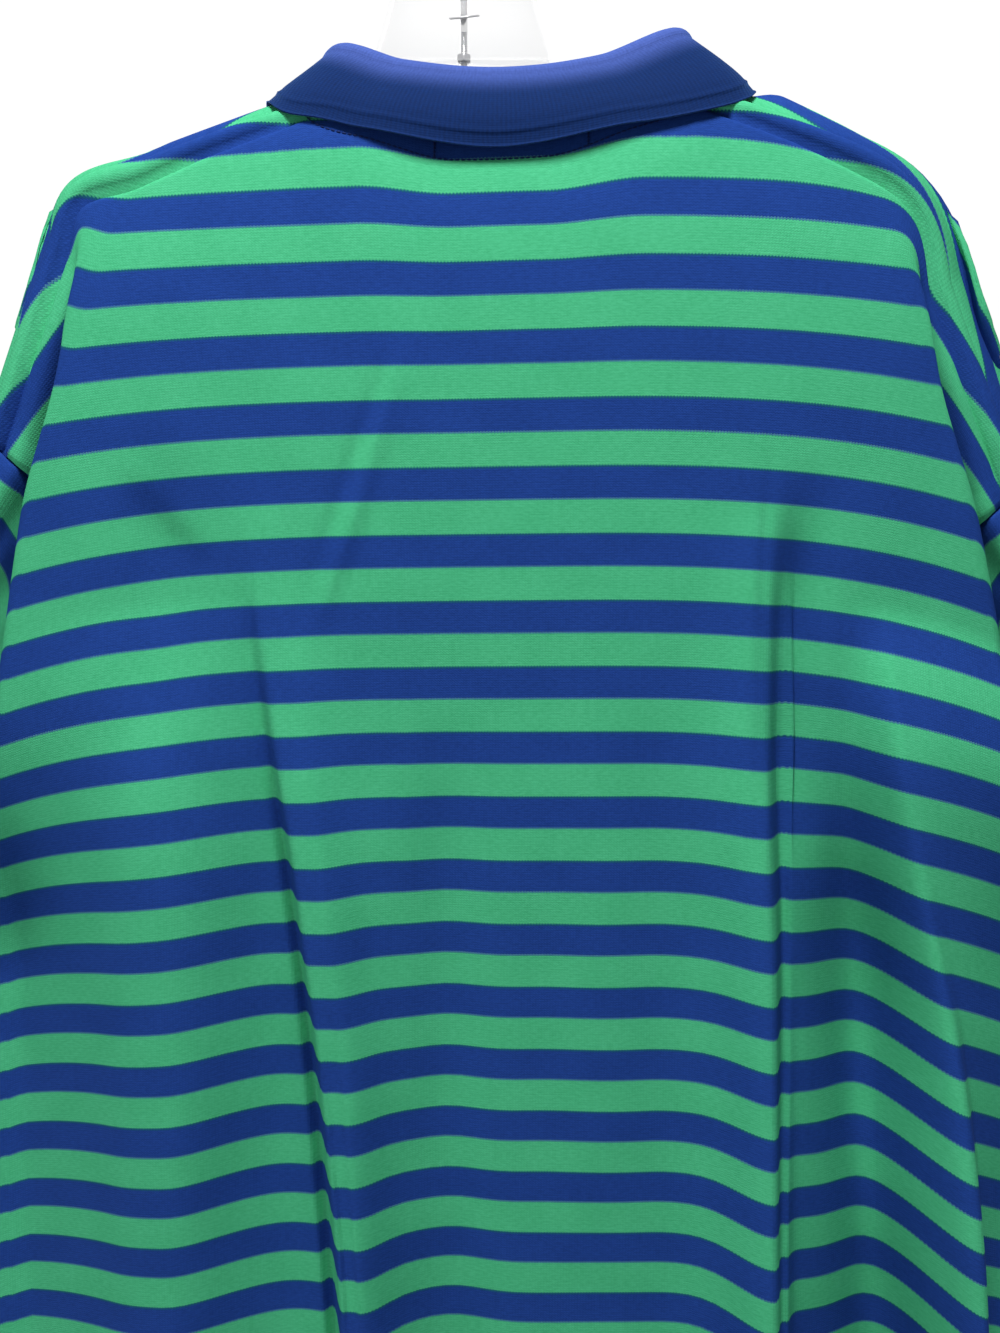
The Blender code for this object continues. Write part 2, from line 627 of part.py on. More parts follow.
def tube(name, path, radius, finish, sides=14):
    """A round wire along a path that stays in the plane of the shoulders."""
    path = np.asarray(path, float)
    run = np.gradient(path, axis=0)
    run = run / np.linalg.norm(run, axis=1)[:, None]
    points, faces = [], []
    for place, way in zip(path, run):
        side = np.array([0.0, 1.0, 0.0])
        other = np.cross(way, side)
        for i in range(sides):
            turn = 2 * pi * i / sides
            points.append((place + radius * (side * cos(turn) + other * sin(turn))) * CM)
    for r in range(len(path) - 1):
        for i in range(sides):
            j = (i + 1) % sides
            faces.append((r * sides + i, r * sides + j, (r + 1) * sides + j, (r + 1) * sides + i))
    last = (len(path) - 1) * sides
    faces.append(tuple(range(sides)))
    faces.append(tuple(last + i for i in range(sides)))
    return new_object(name, points, faces, finish)


BLUE = ((0.016, 0.045, 0.25), 0.85, 0.0)
NAVY = ((0.012, 0.035, 0.17), 0.85, 0.0)
CLEAR = ((0.86, 0.89, 0.9), 0.15, 0.0)
STEEL = ((0.55, 0.55, 0.56), 0.3, 1.0)
BUTTON = ((0.02, 0.04, 0.16), 0.3, 0.0)

# Columns of a panel: cloth from the centre to the fold edge as it is along the
# shoulder seam, then shares of the way from the fold edge to the side.
INNER_COLUMNS = (0.0, 1.6, 3.6, 5.4, 6.8, 7.8, 8.35, NECK_HALF, 10.6, 12.8, 15.0, SEAM_EDGE)
OUTER_COLUMNS = (0.09, 0.19, 0.31, 0.44, 0.58, 0.72, 0.86, 1.0)
ARM_ROWS = (0.0, 0.012, 0.026, 0.045, 0.068, 0.095, 0.125, 0.16, 0.195, 0.23, 0.265)
ARMPIT_ROW = (ARMPIT - SHOULDER_DROP) / (LENGTH - SHOULDER_DROP)
BODY_ROWS = ARM_ROWS + (ARMPIT_ROW, 0.35, 0.4, 0.46, 0.53, 0.6, 0.68, 0.76, 0.84, 0.92, 1.0)


def body_grid(neck_drop):
    """The cut of a panel: columns from side to side, rows from top to hem."""
    inner = [(u / SEAM_EDGE, 0.0) for u in INNER_COLUMNS]
    outer = [(1.0, share) for share in OUTER_COLUMNS]
    half = inner + outer
    columns = [(-1, *c) for c in reversed(half[1:])] + [(1, *c) for c in half]
    rows = np.asarray(BODY_ROWS, float)
    flat = np.zeros((2, len(rows), len(columns)))
    for i, (side, inside, outside) in enumerate(columns):
        u = inside * SEAM_EDGE + outside * (SHOULDER_HALF - SEAM_EDGE)
        top = seam_depth(u, neck_drop) + SEAM_GAP / 2
        v = top + (LENGTH - top) * rows
        edge = SEAM_EDGE + (column(EDGES[side], 2, v) - SEAM_EDGE) * smooth(0.0, 0.07, rows)
        width = half_width(v) - SEAM_GAP * (0.5 + 1.5 * smooth(ARMPIT - 1.0, ARMPIT + 2.0, v))
        flat[:, :, i] = side * (inside * edge + outside * (width - edge)), v
    return flat


def body_panels():
    """Back and front, each one length of knit from shoulder to hem."""
    u, v = body_grid(NECK_DROP_BACK)
    along_seam = surface_normals(back_surface, u, v, -1)
    cloth_piece("back", back_surface(u, v), BLUE, normal=along_seam)
    u, v = body_grid(NECK_DROP_FRONT)
    front, facing = front_surface(u, v), surface_normals(front_surface, u, v, 1)
    shoulder = np.abs(u[0]) > NECK_HALF - 0.01
    facing[0, shoulder] = along_seam[0, shoulder]
    cloth_piece("front", front, BLUE, normal=facing)
    return front, facing


def sleeves():
    """Set-in short sleeves, each closed under the arm."""
    rows = np.array(ARM_ROWS + (ARMPIT_ROW,))
    down = SHOULDER_DROP + (LENGTH - SHOULDER_DROP) * rows
    along = (0.0, 0.06, 0.18, 0.34, 0.5, 0.66, 0.83, 1.0)
    for name, side in (("sleeve_left", 1), ("sleeve_right", -1)):
        cloth_piece(name, sleeve_surface(side, down, along), BLUE, closed=True, flip=side < 0)


def collar(body):
    """A rib collar in one piece, folded over its own stand."""
    u = np.array([c for c in INNER_COLUMNS if c <= NECK_HALF])
    turn = np.arcsin(u / NECK_HALF) * 2 / pi
    half = np.concatenate([NECK_SHARE * turn, 1 - (1 - NECK_SHARE) * turn[-2:0:-1], [0.985]])
    around = np.concatenate([-half[:0:-1], half])
    through = (0.0, 0.2, 0.42, 0.5, 0.58, 0.72, 0.86, 1.0)
    grid = stand_clear(collar_surface(around, through), body, 0.45, 4)
    cloth_piece("collar", grid, NAVY, thick=0.18)


def stand_clear(grid, body, gap, first):
    """Move the rows from the given one on off the cloth they lie over."""
    places = np.concatenate([face.reshape(-1, 3) for face, facing in body])
    facing = np.concatenate([facing.reshape(-1, 3) for face, facing in body])
    out = grid.copy()
    for row in out[first:]:
        for point in row:
            for step in range(3):
                nearest = np.argmin(((places - point) ** 2).sum(axis=1))
                off = float(np.dot(point - places[nearest], facing[nearest]))
                if off < gap:
                    point += facing[nearest] * (gap - off)
    return out


def body_faces():
    """Fine samples of the shirt beside the neck, with the way each faces."""
    faces = []
    for surface, drop, way in ((back_surface, NECK_DROP_BACK, -1), (front_surface, NECK_DROP_FRONT, 1)):
        u = np.linspace(-16.0, 16.0, 97)[None, :]
        below = np.linspace(0.0, 14.0, 43)[:, None]
        u, v = np.broadcast_arrays(u, seam_depth(u, drop) + below)
        faces.append((surface(u, v), surface_normals(surface, u, v, way)))
    return faces


def placket(front, facing):
    """A band on the front opening, one underneath, and three buttons."""
    middle = front.shape[1] // 2
    part = (slice(0, 9), slice(middle - 1, middle + 2))
    off = facing[part] * (CLOTH + SEAM_GAP)
    cloth_piece("placket_top", front[part] + off, NAVY, normal=facing[part])
    cloth_piece("placket_under", front[part] - off, NAVY, normal=facing[part])
    for number, below in enumerate((1.6, 6.0, 10.4), start=1):
        point = front_surface(0.0, NECK_DROP_FRONT + below)
        around = np.array([[-0.4, 0.4], [-0.4, 0.4]])
        nearby = front_surface(around, NECK_DROP_FRONT + below + around.T)
        way = grid_normals(nearby, False)[0, 0]
        button("button_%d" % number, point + way * (CLOTH + SEAM_GAP * 2 + 0.03), way)


def button(name, seat, facing):
    profile = ((0.0, 0.0), (0.5, 0.0), (0.55, 0.05), (0.55, 0.2), (0.47, 0.25), (0.4, 0.2), (0.0, 0.2))
    sides = 14
    across = np.cross(facing, (0.0, 0.0, 1.0))
    across = across / np.linalg.norm(across)
    upward = np.cross(across, facing)
    points, faces = [], []
    points.append(to_world(seat))
    points.append(to_world(seat + facing * profile[-1][1]))
    for radius, height in profile[1:-1]:
        for i in range(sides):
            turn = 2 * pi * i / sides
            spoke = across * cos(turn) + upward * sin(turn)
            points.append(to_world(seat + spoke * radius + facing * height))
    rings = len(profile) - 2
    for i in range(sides):
        j = (i + 1) % sides
        faces.append((0, 2 + j, 2 + i))
        faces.append((1, 2 + (rings - 1) * sides + i, 2 + (rings - 1) * sides + j))
        for r in range(rings - 1):
            a, b = 2 + r * sides + i, 2 + r * sides + j
            faces.append((a, b, b + sides, a + sides))
    new_object(name, points, faces, BUTTON)


def form_ring(height, half_width_, half_depth, middle, power, sides):
    turn = 2 * pi * np.arange(sides) / sides
    c, s = np.cos(turn), np.sin(turn)
    x = half_width_ * np.sign(c) * np.abs(c) ** (2 / power)
    y = middle + half_depth * np.sign(s) * np.abs(s) ** (2 / power)
    x = x - 1.3 * smooth(-9.0, -40.0, height)
    shoulder = smooth(6.0, 10.5, np.abs(x)) * smooth(-25.0, -18.5, height)
    z = height + shoulder * (FORM_LIFT - FORM_TILT * np.tanh(x / 9.0))
    return np.stack([x, y, z], axis=-1)


def torso_form():
    """A clear shell from the neck to the hips, open at both ends."""
    heights = np.concatenate([
        np.linspace(-6.2, -12.9, 6), np.linspace(-13.6, -20.1, 11),
        np.linspace(-22.0, -77.5, 15),
    ])
    sides = 48
    outer = np.array([
        form_ring(h, *[float(column(FORM[::-1], i, h)) for i in (1, 2, 3, 4)], sides)
        for h in heights
    ])
    normal = grid_normals(outer, True)
    inner = outer + normal * FORM_WALL
    test = (inner[:, 0, 0] - outer[:, 0, 0]).mean()
    if test > 0:
        inner = outer - normal * FORM_WALL
    points = np.concatenate([outer.reshape(-1, 3), inner.reshape(-1, 3)]) * CM
    rows, under = len(heights), len(heights) * sides
    faces = []
    for r in range(rows - 1):
        for i in range(sides):
            j = (i + 1) % sides
            a, b, c, d = r * sides + i, r * sides + j, (r + 1) * sides + j, (r + 1) * sides + i
            faces.append((a, b, c, d))
            faces.append((d + under, c + under, b + under, a + under))
    for i in range(sides):
        j = (i + 1) % sides
        faces.append((j, i, i + under, j + under))
        k = (rows - 1) * sides
        faces.append((k + i, k + j, k + j + under, k + i + under))
    new_object("torso_form", points, faces, CLEAR)


def hanger():
    """The plate across the neck, the hook's wire, its washer and two nuts."""
    bore = ROD + 0.03
    top = PLATE_Z
    low = top - PLATE["thick"]
    plate_points, plate_faces = [], []
    sides = 32
    for i in range(sides):
        turn = 2 * pi * i / sides
        c, s = cos(turn), sin(turn)
        scale = min(PLATE["half_x"] / max(abs(c), 1e-6), PLATE["half_y"] / max(abs(s), 1e-6))
        scale = min(scale, PLATE["half_x"])
        for radius, z in ((bore, top), (scale, top), (scale, low), (bore, low)):
            plate_points.append((radius * c * CM, radius * s * CM, z * CM))
    for i in range(sides):
        j = (i + 1) % sides
        for k in range(4):
            m = (k + 1) % 4
            plate_faces.append((i * 4 + k, j * 4 + k, j * 4 + m, i * 4 + m))
    new_object("hook_plate", plate_points, plate_faces, CLEAR)
    wide, tall = NUT["radius"], NUT["height"]
    for name, z in (("nut_upper", top + 0.03), ("nut_lower", low - 0.03 - tall)):
        hole = bore + 0.03
        revolve(name, ((hole, z), (wide, z), (wide, z + tall), (hole, z + tall)), STEEL, sides=6)
    # The washer hangs loose: it leans back and dips to the wearer's left.
    z, wide, half = top + WASHER["above"], WASHER["radius"], WASHER["thick"] / 2
    hole = bore + 0.04
    revolve("hook_washer", ((hole, z - half), (wide, z - half), (wide, z + half), (hole, z + half)), STEEL)
    lean = Matrix.Rotation(radians(-WASHER["lean"]), 4, "X")
    dip = Matrix.Rotation(radians(WASHER["dip"]), 4, "Y")
    lift = Matrix.Translation((0.0, 0.0, z * CM))
    bpy.data.objects["hook_washer"].data.transform(lift @ dip @ lean @ lift.inverted())
    centre = -HOOK_RADIUS
    middle = HOOK_RADIUS + ROD
    arc = [(middle * cos(a), 0.0, centre + middle * sin(a)) for a in np.linspace(radians(-35), radians(205), 34)]
    end = arc[-1]
    foot = low - 0.9
    neck = [(end[0] + (0.0 - end[0]) * float(smooth(0, 1, t)) - 0.35 * sin(pi * t) * (1 - t), 0.0,
             end[2] - 2.4 * t) for t in np.linspace(0.12, 1.0, 9)]
    shank = [(0.0, 0.0, h) for h in np.linspace(neck[-1][2] - 0.5, foot, 6)]
    tube("hook", arc + neck + shank, ROD, STEEL)


for old in list(bpy.data.objects):
    bpy.data.objects.remove(old, do_unlink=True)

front_face, front_facing = body_panels()
sleeves()
collar(body_faces())
placket(front_face, front_facing)
torso_form()
hanger()
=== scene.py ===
# %% [markdown]
# # A striped polo shirt on a clear torso form
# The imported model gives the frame: a hook, a form and a coarse shirt. This
# script makes the fine cloth over it from the same cut, then its stitches,
# colours and light. Lengths are centimetres until a mesh is made.

from math import cos, pi, radians, sin

import bmesh
import bpy
import numpy as np
from mathutils import Matrix, Vector
from mathutils.kdtree import KDTree


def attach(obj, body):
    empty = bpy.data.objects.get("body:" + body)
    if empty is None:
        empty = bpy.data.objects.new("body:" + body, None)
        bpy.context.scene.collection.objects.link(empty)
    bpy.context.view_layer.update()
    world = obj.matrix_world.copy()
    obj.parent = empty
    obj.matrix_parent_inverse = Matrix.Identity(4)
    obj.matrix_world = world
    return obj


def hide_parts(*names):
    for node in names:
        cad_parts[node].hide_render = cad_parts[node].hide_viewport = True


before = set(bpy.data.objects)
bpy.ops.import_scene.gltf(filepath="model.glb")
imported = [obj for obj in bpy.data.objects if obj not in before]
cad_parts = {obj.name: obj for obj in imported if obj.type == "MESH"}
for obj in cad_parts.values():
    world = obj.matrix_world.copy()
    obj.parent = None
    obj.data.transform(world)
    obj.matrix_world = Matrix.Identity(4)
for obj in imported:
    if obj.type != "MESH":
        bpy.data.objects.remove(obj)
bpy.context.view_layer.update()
print("frame holds", len(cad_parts), "pieces")

# %% [markdown]
# ## The cut
# A real shirt is cut from flat knit and sewn, so this one starts from its flat
# cut: a point of cloth is (u, v), u across from the centre and v down from the
# neck point. The stripes follow the cut then, and a fold never stretches them.

# %% The cut, and where the shirt hangs
CM = 0.01
NECK_HALF = 8.6          # centre back to the neck point
NECK_DROP_BACK = 1.9
NECK_DROP_FRONT = 9.0
SHOULDER_HALF = 31.0     # centre back to the sleeve seam
SHOULDER_DROP = 7.4
CHEST_HALF = 32.5        # centre back to the side seam
ARMPIT = 29.0            # neck point to the bottom of the armhole
LENGTH = 79.0            # neck point to the hem
SLEEVE_LENGTH = 24.0
HEM = 2.25               # depth of the turned hem
ARMHOLE_DEPTH = ARMPIT - SHOULDER_DROP
SHOULDER_SLOPE = SHOULDER_DROP / (SHOULDER_HALF - NECK_HALF)
CLOTH = 0.16             # wall of the knit
SEAM_GAP = 0.04          # clearance between pieces at a seam

NECK_Z = -13.9           # height of the neck point
BACK_Y = 5.5             # plane of the back
SHIRT_X = -1.7           # the shirt hangs a little to one side of the hook
SHIRT_Y = 1.1            # and a little behind it
SIDE_Y = -2.6            # plane of the side seams
SEAM_DIP = 2.3           # how far the shoulder seam lies in front of the back
print("chest", 2 * CHEST_HALF, "cm across, length", LENGTH, "cm")

# %% [markdown]
# ## Reading the tables
# Short tables say how the cloth hangs. A table is kept as named columns, and
# `column` draws a smooth curve through one of them, so a few rows describe a
# long soft edge. `smooth` eases from 0 to 1 between two places.

# %% Curves
def smooth(start, end, x):
    t = np.clip((np.asarray(x, float) - start) / (end - start), 0.0, 1.0)
    return t * t * (3.0 - 2.0 * t)


def table(columns, rows):
    """Rows of numbers as named columns, in the order of the first one."""
    return dict(zip(columns.split(), np.array(sorted(rows), float).T))


def column(rows, name, x):
    """A smooth curve through one column of a table, read at x of its first."""
    knots, values = next(iter(rows.values())), rows[name]
    slopes = np.gradient(values, knots)
    x = np.clip(np.asarray(x, float), knots[0], knots[-1])
    i = np.clip(np.searchsorted(knots, x, side="right") - 1, 0, len(knots) - 2)
    span = knots[i + 1] - knots[i]
    t = (x - knots[i]) / span
    a = values[i] * (1 + 2 * t) * (1 - t) ** 2 + slopes[i] * span * t * (1 - t) ** 2
    b = values[i + 1] * t * t * (3 - 2 * t) - slopes[i + 1] * span * t * t * (1 - t)
    return a + b


def bell(x, place, width):
    """A soft ridge, 1 at its place."""
    return np.exp(-((x - place) / width) ** 2)


def uneven_bell(x, place, near, far):
    """The same, with a width of its own on each side."""
    return bell(x, place, np.where(x > place, near, far))


print("halfway from 0 to 2:", float(smooth(0.0, 2.0, 1.0)))

# %% [markdown]
# ## From the flat cut to the hanging shirt
# Over the form the real cloth lies flat with long folds. Past the form's
# shoulders it turns down and passes under itself, out to the sleeve. A cloth
# simulation could drape it, but each fold has a place of its own, so tables
# state them. `back_surface` and `front_surface` place any point of the cut.

# %% Where each panel folds under
# At each depth, to the left (+1) and right: the fold edge's place on the shirt
# and in the cut, the place in the cut that has reached the sleeve's side, and
# how far the edge sags.
EDGE_COLUMNS = "depth edge_x edge_cloth sleeve_cloth sag"
EDGES = {
    +1: table(EDGE_COLUMNS, (
        (0.0, 13.8, 13.8, 19.4, 0.0),
        (3.0, 15.9, 15.9, 21.6, 0.0),
        (5.9, 17.4, 17.6, 22.2, 0.0),
        (8.9, 18.6, 19.6, 25.8, 0.3),
        (11.9, 19.9, 21.8, 28.1, 0.7),
        (14.9, 21.0, 23.7, 30.3, 1.1),
        (17.9, 21.8, 25.2, 31.4, 1.6),
        (21.0, 22.5, 26.4, 32.0, 2.0),
        (29.0, 23.9, 27.9, 32.5, 2.7),
        (40.0, 24.5, 28.3, 32.5, 2.9),
        (57.0, 24.9, 28.5, 32.5, 2.8),
        (79.0, 25.0, 28.5, 32.5, 1.6),
    )),
    -1: table(EDGE_COLUMNS, (
        (0.0, 14.0, 14.0, 20.4, 0.0),
        (3.0, 16.2, 16.2, 22.4, 0.0),
        (5.9, 17.5, 17.7, 21.8, 0.3),
        (8.9, 18.6, 19.7, 25.3, 0.6),
        (11.9, 19.7, 21.6, 27.8, 1.0),
        (14.9, 20.8, 23.5, 30.3, 1.5),
        (17.9, 21.8, 25.1, 31.4, 2.0),
        (21.0, 22.7, 26.4, 32.0, 2.5),
        (29.0, 23.6, 27.6, 32.5, 2.9),
        (40.0, 24.0, 28.0, 32.5, 3.8),
        (57.0, 24.4, 28.2, 32.5, 3.6),
        (79.0, 24.8, 28.2, 32.5, 2.2),
    )),
}
SEAM_EDGE = 17.3         # the fold edge followed up to the shoulder seam
# Past the end of the form the shoulder turns down about a point of the cloth.
USUAL_TURN = 52.0
TURNS = {
    +1: {"cloth": (19.8, 4.0), "place": (19.9, -4.0), "turn": radians(USUAL_TURN)},
    -1: {"cloth": (21.9, 4.4), "place": (21.0, -8.2), "turn": radians(50.0)},
}
# The armhole seam: its depth in the cut, how far it lies from its place at the
# second row, the slope of the cloth there in degrees, and how far back its back
# half and its front half lie.
ARMHOLE = table("depth across height turn back_y front_y", (
    (7.4, 0.0, 0.0, 52.0, 3.7, 1.4),
    (10.4, 0.0, 0.0, 50.0, 2.9, -1.4),
    (13.0, -1.1, -2.2, 30.0, 1.2, -2.8),
    (16.0, -1.2, -5.2, 10.0, 0.0, -3.9),
    (20.0, -0.5, -9.2, -5.0, -0.6, -4.6),
    (24.0, 0.6, -12.9, -20.0, -1.0, -4.5),
    (29.0, 2.0, -17.4, -25.0, -2.6, -2.6),
))


def edge_of(name, v, left):
    """A column of the edge table, of the side a point lies on."""
    return np.where(left, column(EDGES[+1], name, v), column(EDGES[-1], name, v))


def past_armhole(v):
    """Eases from the armhole to the side seam below it."""
    return smooth(ARMPIT - 6.0, ARMPIT + 4.0, v)


print("fold edge at 30 cm down:", float(column(EDGES[+1], "edge_x", 30.0)))


# %% Where the cloth hangs
def seam_depth(u, neck_drop):
    """Depth of the top edge of a panel below the neck point."""
    u = np.abs(np.asarray(u, float))
    inside = np.clip(u / NECK_HALF, 0.0, 1.0)
    neck = neck_drop * np.sqrt(np.clip(1.0 - inside ** 2.0, 0.0, 1.0))
    return np.where(u < NECK_HALF, neck, SHOULDER_SLOPE * (u - NECK_HALF))


def half_width(v):
    """Centre to the sleeve or side seam in the flat cut."""
    t = np.clip((v - SHOULDER_DROP) / ARMHOLE_DEPTH, 0.0, 1.0)
    return SHOULDER_HALF + (CHEST_HALF - SHOULDER_HALF) * t


def below_seam(u, v):
    """Distance below the line of the shoulder seam, across the seam."""
    size = np.abs(u)
    line = SHOULDER_SLOPE * np.maximum(size - NECK_HALF, 0.0)
    lean = 1.0 - 0.05 * smooth(NECK_HALF - 3.0, NECK_HALF + 2.0, size)
    return np.maximum(v - line, 0.0) * lean


def armhole(v, side):
    """Place and height of the armhole seam, and the slope of the cloth there."""
    turn = TURNS[side]
    angle = turn["turn"]
    du = half_width(v) - turn["cloth"][0]
    dv = np.minimum(v, ARMHOLE["depth"][1]) - turn["cloth"][1]
    x = turn["place"][0] + du * cos(angle) - dv * sin(angle)
    z = turn["place"][1] - du * sin(angle) - dv * cos(angle)
    past_turn = smooth(9.0, 11.0, v)
    x = x + column(ARMHOLE, "across", v) * past_turn
    z = z + column(ARMHOLE, "height", v) * past_turn
    below = np.maximum(v - ARMPIT, 0.0)
    x = x + 1.7 * smooth(2.0, 26.0, below)
    z = z - below * 0.965
    return x, z, np.radians(column(ARMHOLE, "turn", v)) + (angle - radians(USUAL_TURN))


def crossing(u, v, side):
    """Place and height of the cloth, and its share of the sleeve side."""
    edge_x, edge_u, sleeve_u, sag = [
        column(EDGES[side], name, v) for name in EDGE_COLUMNS.split()[1:]
    ]
    span = np.clip(u / edge_u, 0.0, 1.25)
    flat_x = edge_x * span
    flat_z = -v - sag * np.clip(span, 0.0, 1.0) ** 3.4
    arm_x, arm_z, angle = armhole(v, side)
    back = half_width(v) - u
    tucked = smooth(11.0, 17.0, v)
    side_x = arm_x - back * np.cos(angle) * (1.0 - 0.75 * tucked)
    side_z = arm_z + back * np.sin(angle) * (1.0 - tucked)
    below = past_armhole(v)
    side_x = side_x * (1 - below) + (arm_x - 0.15 * back) * below
    side_z = side_z * (1 - below) + (arm_z + 0.1 * back) * below
    w = smooth(edge_u, sleeve_u, u)
    x = flat_x * (1 - w) + side_x * w
    z = flat_z * (1 - w) + side_z * w
    return x, z, w


def hang(u, v):
    """Both panels share this: place, height, sleeve share, run below the seam."""
    parts = [crossing(np.abs(u), v, side) for side in (+1, -1)]
    left = u >= 0
    x, z, w = [np.where(left, a, b) for a, b in zip(*parts)]
    x = np.where(left, x, -x)
    t = below_seam(u, v)
    # The collar and the form lift the cloth beside the neck.
    beside = smooth(2.0, 6.5, np.abs(x)) * (1 - w)
    z = z + beside * (0.8 * np.exp(-np.maximum(v - 2.9, 0) / 3.3) - 0.5 * np.exp(-t / 1.5))
    z = z - np.tanh(x / 9.0) * (1 - w) * 0.45 * np.exp(-v / 14.0)
    return x, z, w, t


print("armhole seam at its bottom:", np.round(armhole(ARMPIT, +1), 2))

# %% The folds of the back
CREASE = 0.6             # width of the steep side of a sharp crease
SLIT = -13.05            # place of a narrow groove beside the right ridge
# Long folds of the back: their place at several depths, how far they stand out.
BACK_FOLDS = {name: table("depth place height width", rows) for name, rows in {
    "left swell": (
        (22.0, 15.6, 0.0, 3.0), (29.0, 15.6, 1.3, 3.4), (34.0, 15.6, 2.0, 3.2),
        (42.0, 15.6, 2.1, 2.9), (54.0, 16.0, 1.9, 2.7), (79.0, 16.4, 1.8, 2.7),
    ),
    "left crease": (
        (16.6, 12.0, 0.0, 1.6), (24.0, 10.8, 0.4, 1.6), (28.4, 10.2, 0.9, 1.6),
        (33.0, 9.5, 1.5, 1.6), (40.5, 8.6, 2.0, 1.6), (50.8, 7.8, 2.5, 1.6),
        (79.0, 6.5, 2.8, 1.8),
    ),
    "right ridge": (
        (18.0, -11.8, 0.0, 2.2), (28.0, -11.9, 1.0, 2.2), (34.0, -12.1, 2.0, 2.1),
        (40.0, -12.4, 2.7, 2.1), (46.0, -12.5, 3.3, 2.1), (54.0, -12.6, 4.0, 2.2),
        (79.0, -12.6, 4.3, 2.3),
    ),
    "right shelf": (
        (20.0, -13.5, 0.0, 1.4), (30.0, -13.5, 0.4, 1.5), (40.0, -13.6, 0.7, 1.6),
        (50.0, -13.5, 1.5, 3.2), (79.0, -13.4, 1.8, 3.8),
    ),
    "right trough": (
        (20.0, -16.8, 0.0, 1.8), (30.0, -16.8, 0.6, 1.8), (40.0, -17.3, 1.7, 1.9),
        (50.0, -17.8, 1.0, 1.7), (79.0, -18.3, 0.9, 1.6),
    ),
    "right flank": (
        (22.0, -18.0, 0.0, 1.3), (28.0, -18.4, 2.4, 1.4), (33.0, -19.2, 3.4, 1.6),
        (40.0, -20.9, 4.9, 2.1), (50.0, -22.2, 7.0, 2.6), (58.0, -22.6, 7.6, 2.2),
        (79.0, -23.0, 7.8, 2.4),
    ),
}.items()}


def back_folds(x, v):
    """How far the long folds stand out from the flat back."""
    def fold(name):
        return [column(BACK_FOLDS[name], part, v) for part in ("place", "height", "width")]

    place, height, width = fold("left crease")
    inside = place - x
    step = height * smooth(-CREASE, 0, inside) * bell(np.maximum(inside - 0.8, 0), 0.0, width)
    trough = 0.45 * height * bell(inside, -2.4, 2.6)
    valley = 0.3 * height * bell(x, 2.2, 2.0)
    tuck = 0.27 * height * bell(inside, -0.74, 0.23)
    place, height, width = fold("left swell")
    out = step - trough - valley - tuck + height * uneven_bell(x, place, 1.7 * width, width)
    place, height, width = fold("right ridge")
    out = out + height * uneven_bell(x, place, width, CREASE / 2 + 0.4)
    out = out - 0.08 * height * bell(x, SLIT, 0.3)
    place, height, width = fold("right shelf")
    beyond = np.maximum(place - x, 0)
    out = out + height * smooth(-CREASE, 0, place - x) * bell(beyond, 0.0, width)
    place, height, width = fold("right trough")
    out = out - height * bell(x, place, width)
    place, height, width = fold("right flank")
    falls = (2.4 / 7.0) * smooth(30.0, 54.0, v) * smooth(0.0, CREASE, place - x)
    return out + height * np.where(x > place, bell(x, place, width), 1 - falls)


print(len(BACK_FOLDS), "long folds on the back")


# %% The back
def back_level(size, v):
    """Depth of the back before its folds: flat, and falling to the sides."""
    fall = np.clip(size / 18.4, 0, 1.3)
    share = smooth(24.0, 38.0, v)
    drop = 1.6 * fall ** 2.2 * (1 - share) + 2.5 * fall ** 3.0 * share
    return BACK_Y - 0.02 * v - drop * smooth(0.0, 9.0, v + 3.0)


def side_run(level, u, v, left):
    """Depth between the fold edge and the side seam, below the armhole."""
    width = half_width(v)
    gone = (width - np.abs(u)) / (width - edge_of("edge_cloth", v, left))
    return SIDE_Y + (level - SIDE_Y) * np.clip(gone, 0.0, 1.6)


def back_depth(x, w, t, u, v):
    """How far back the back panel lies."""
    flat = back_level(np.abs(x), v)
    below = past_armhole(v)
    side = side_run(back_level(edge_of("edge_x", v, u >= 0), v), u, v, u >= 0)
    arm = column(ARMHOLE, "back_y", v) * (1 - below) + side * below
    y = flat * (1 - w) + arm * w - SEAM_DIP * np.exp(-t / 3.0)
    return y + back_folds(x, v) * (1 - w)


def edge_near(x, z):
    """At a height, the fold edge of that side and how near a place is to it."""
    left = x >= 0
    depth = np.maximum(-z - edge_of("sag", -z - 1.0, left), 2.0)
    edge = edge_of("edge_x", depth, left)
    near = smooth(edge + 1.5, edge, np.abs(x)) * smooth(-6.0, -8.5, z)
    return edge, depth, near


def under(edge, x):
    """How far under a fold edge the cloth behind it lies."""
    return 0.95 + 1.0 * smooth(edge + 0.2, edge - 1.8, np.abs(x))


def behind_back_edge(x, y, z, layer):
    """How far forward cloth must go to pass under the edge of the back."""
    edge, depth, near = edge_near(x, z)
    level = back_level(edge, depth) - SEAM_DIP * np.exp(-(depth - 4.0) / 3.0)
    return near * np.maximum(y - level + under(edge, x) + 0.9 * layer, 0.0)


def before_front_edge(x, y, z, layer):
    """How far back cloth must go to pass under the edge of the front."""
    edge, depth, near = edge_near(x, z)
    forward, _ = over_shoulder(np.maximum(depth - 4.0, 0.0))
    level = 1.5 - forward - column(SWELL, "forward", depth - 3.0) * swell_share(edge)
    return near * np.maximum(level + under(edge, x) + 0.9 * layer - y, 0.0)


def back_surface(u, v):
    """The outer face of the back panel for a point of the flat cut."""
    u, v = np.broadcast_arrays(np.asarray(u, float), np.asarray(v, float))
    x, z, w, t = hang(u, v)
    y = back_depth(x, w, t, u, v)
    y = y - behind_back_edge(x, y, z, smooth(0.45, 0.95, w)) * smooth(0.08, 0.7, w)
    return np.stack([x, y, z], axis=-1)


print("back at 20 cm down:", np.round(back_surface(0.0, 20.0), 2))

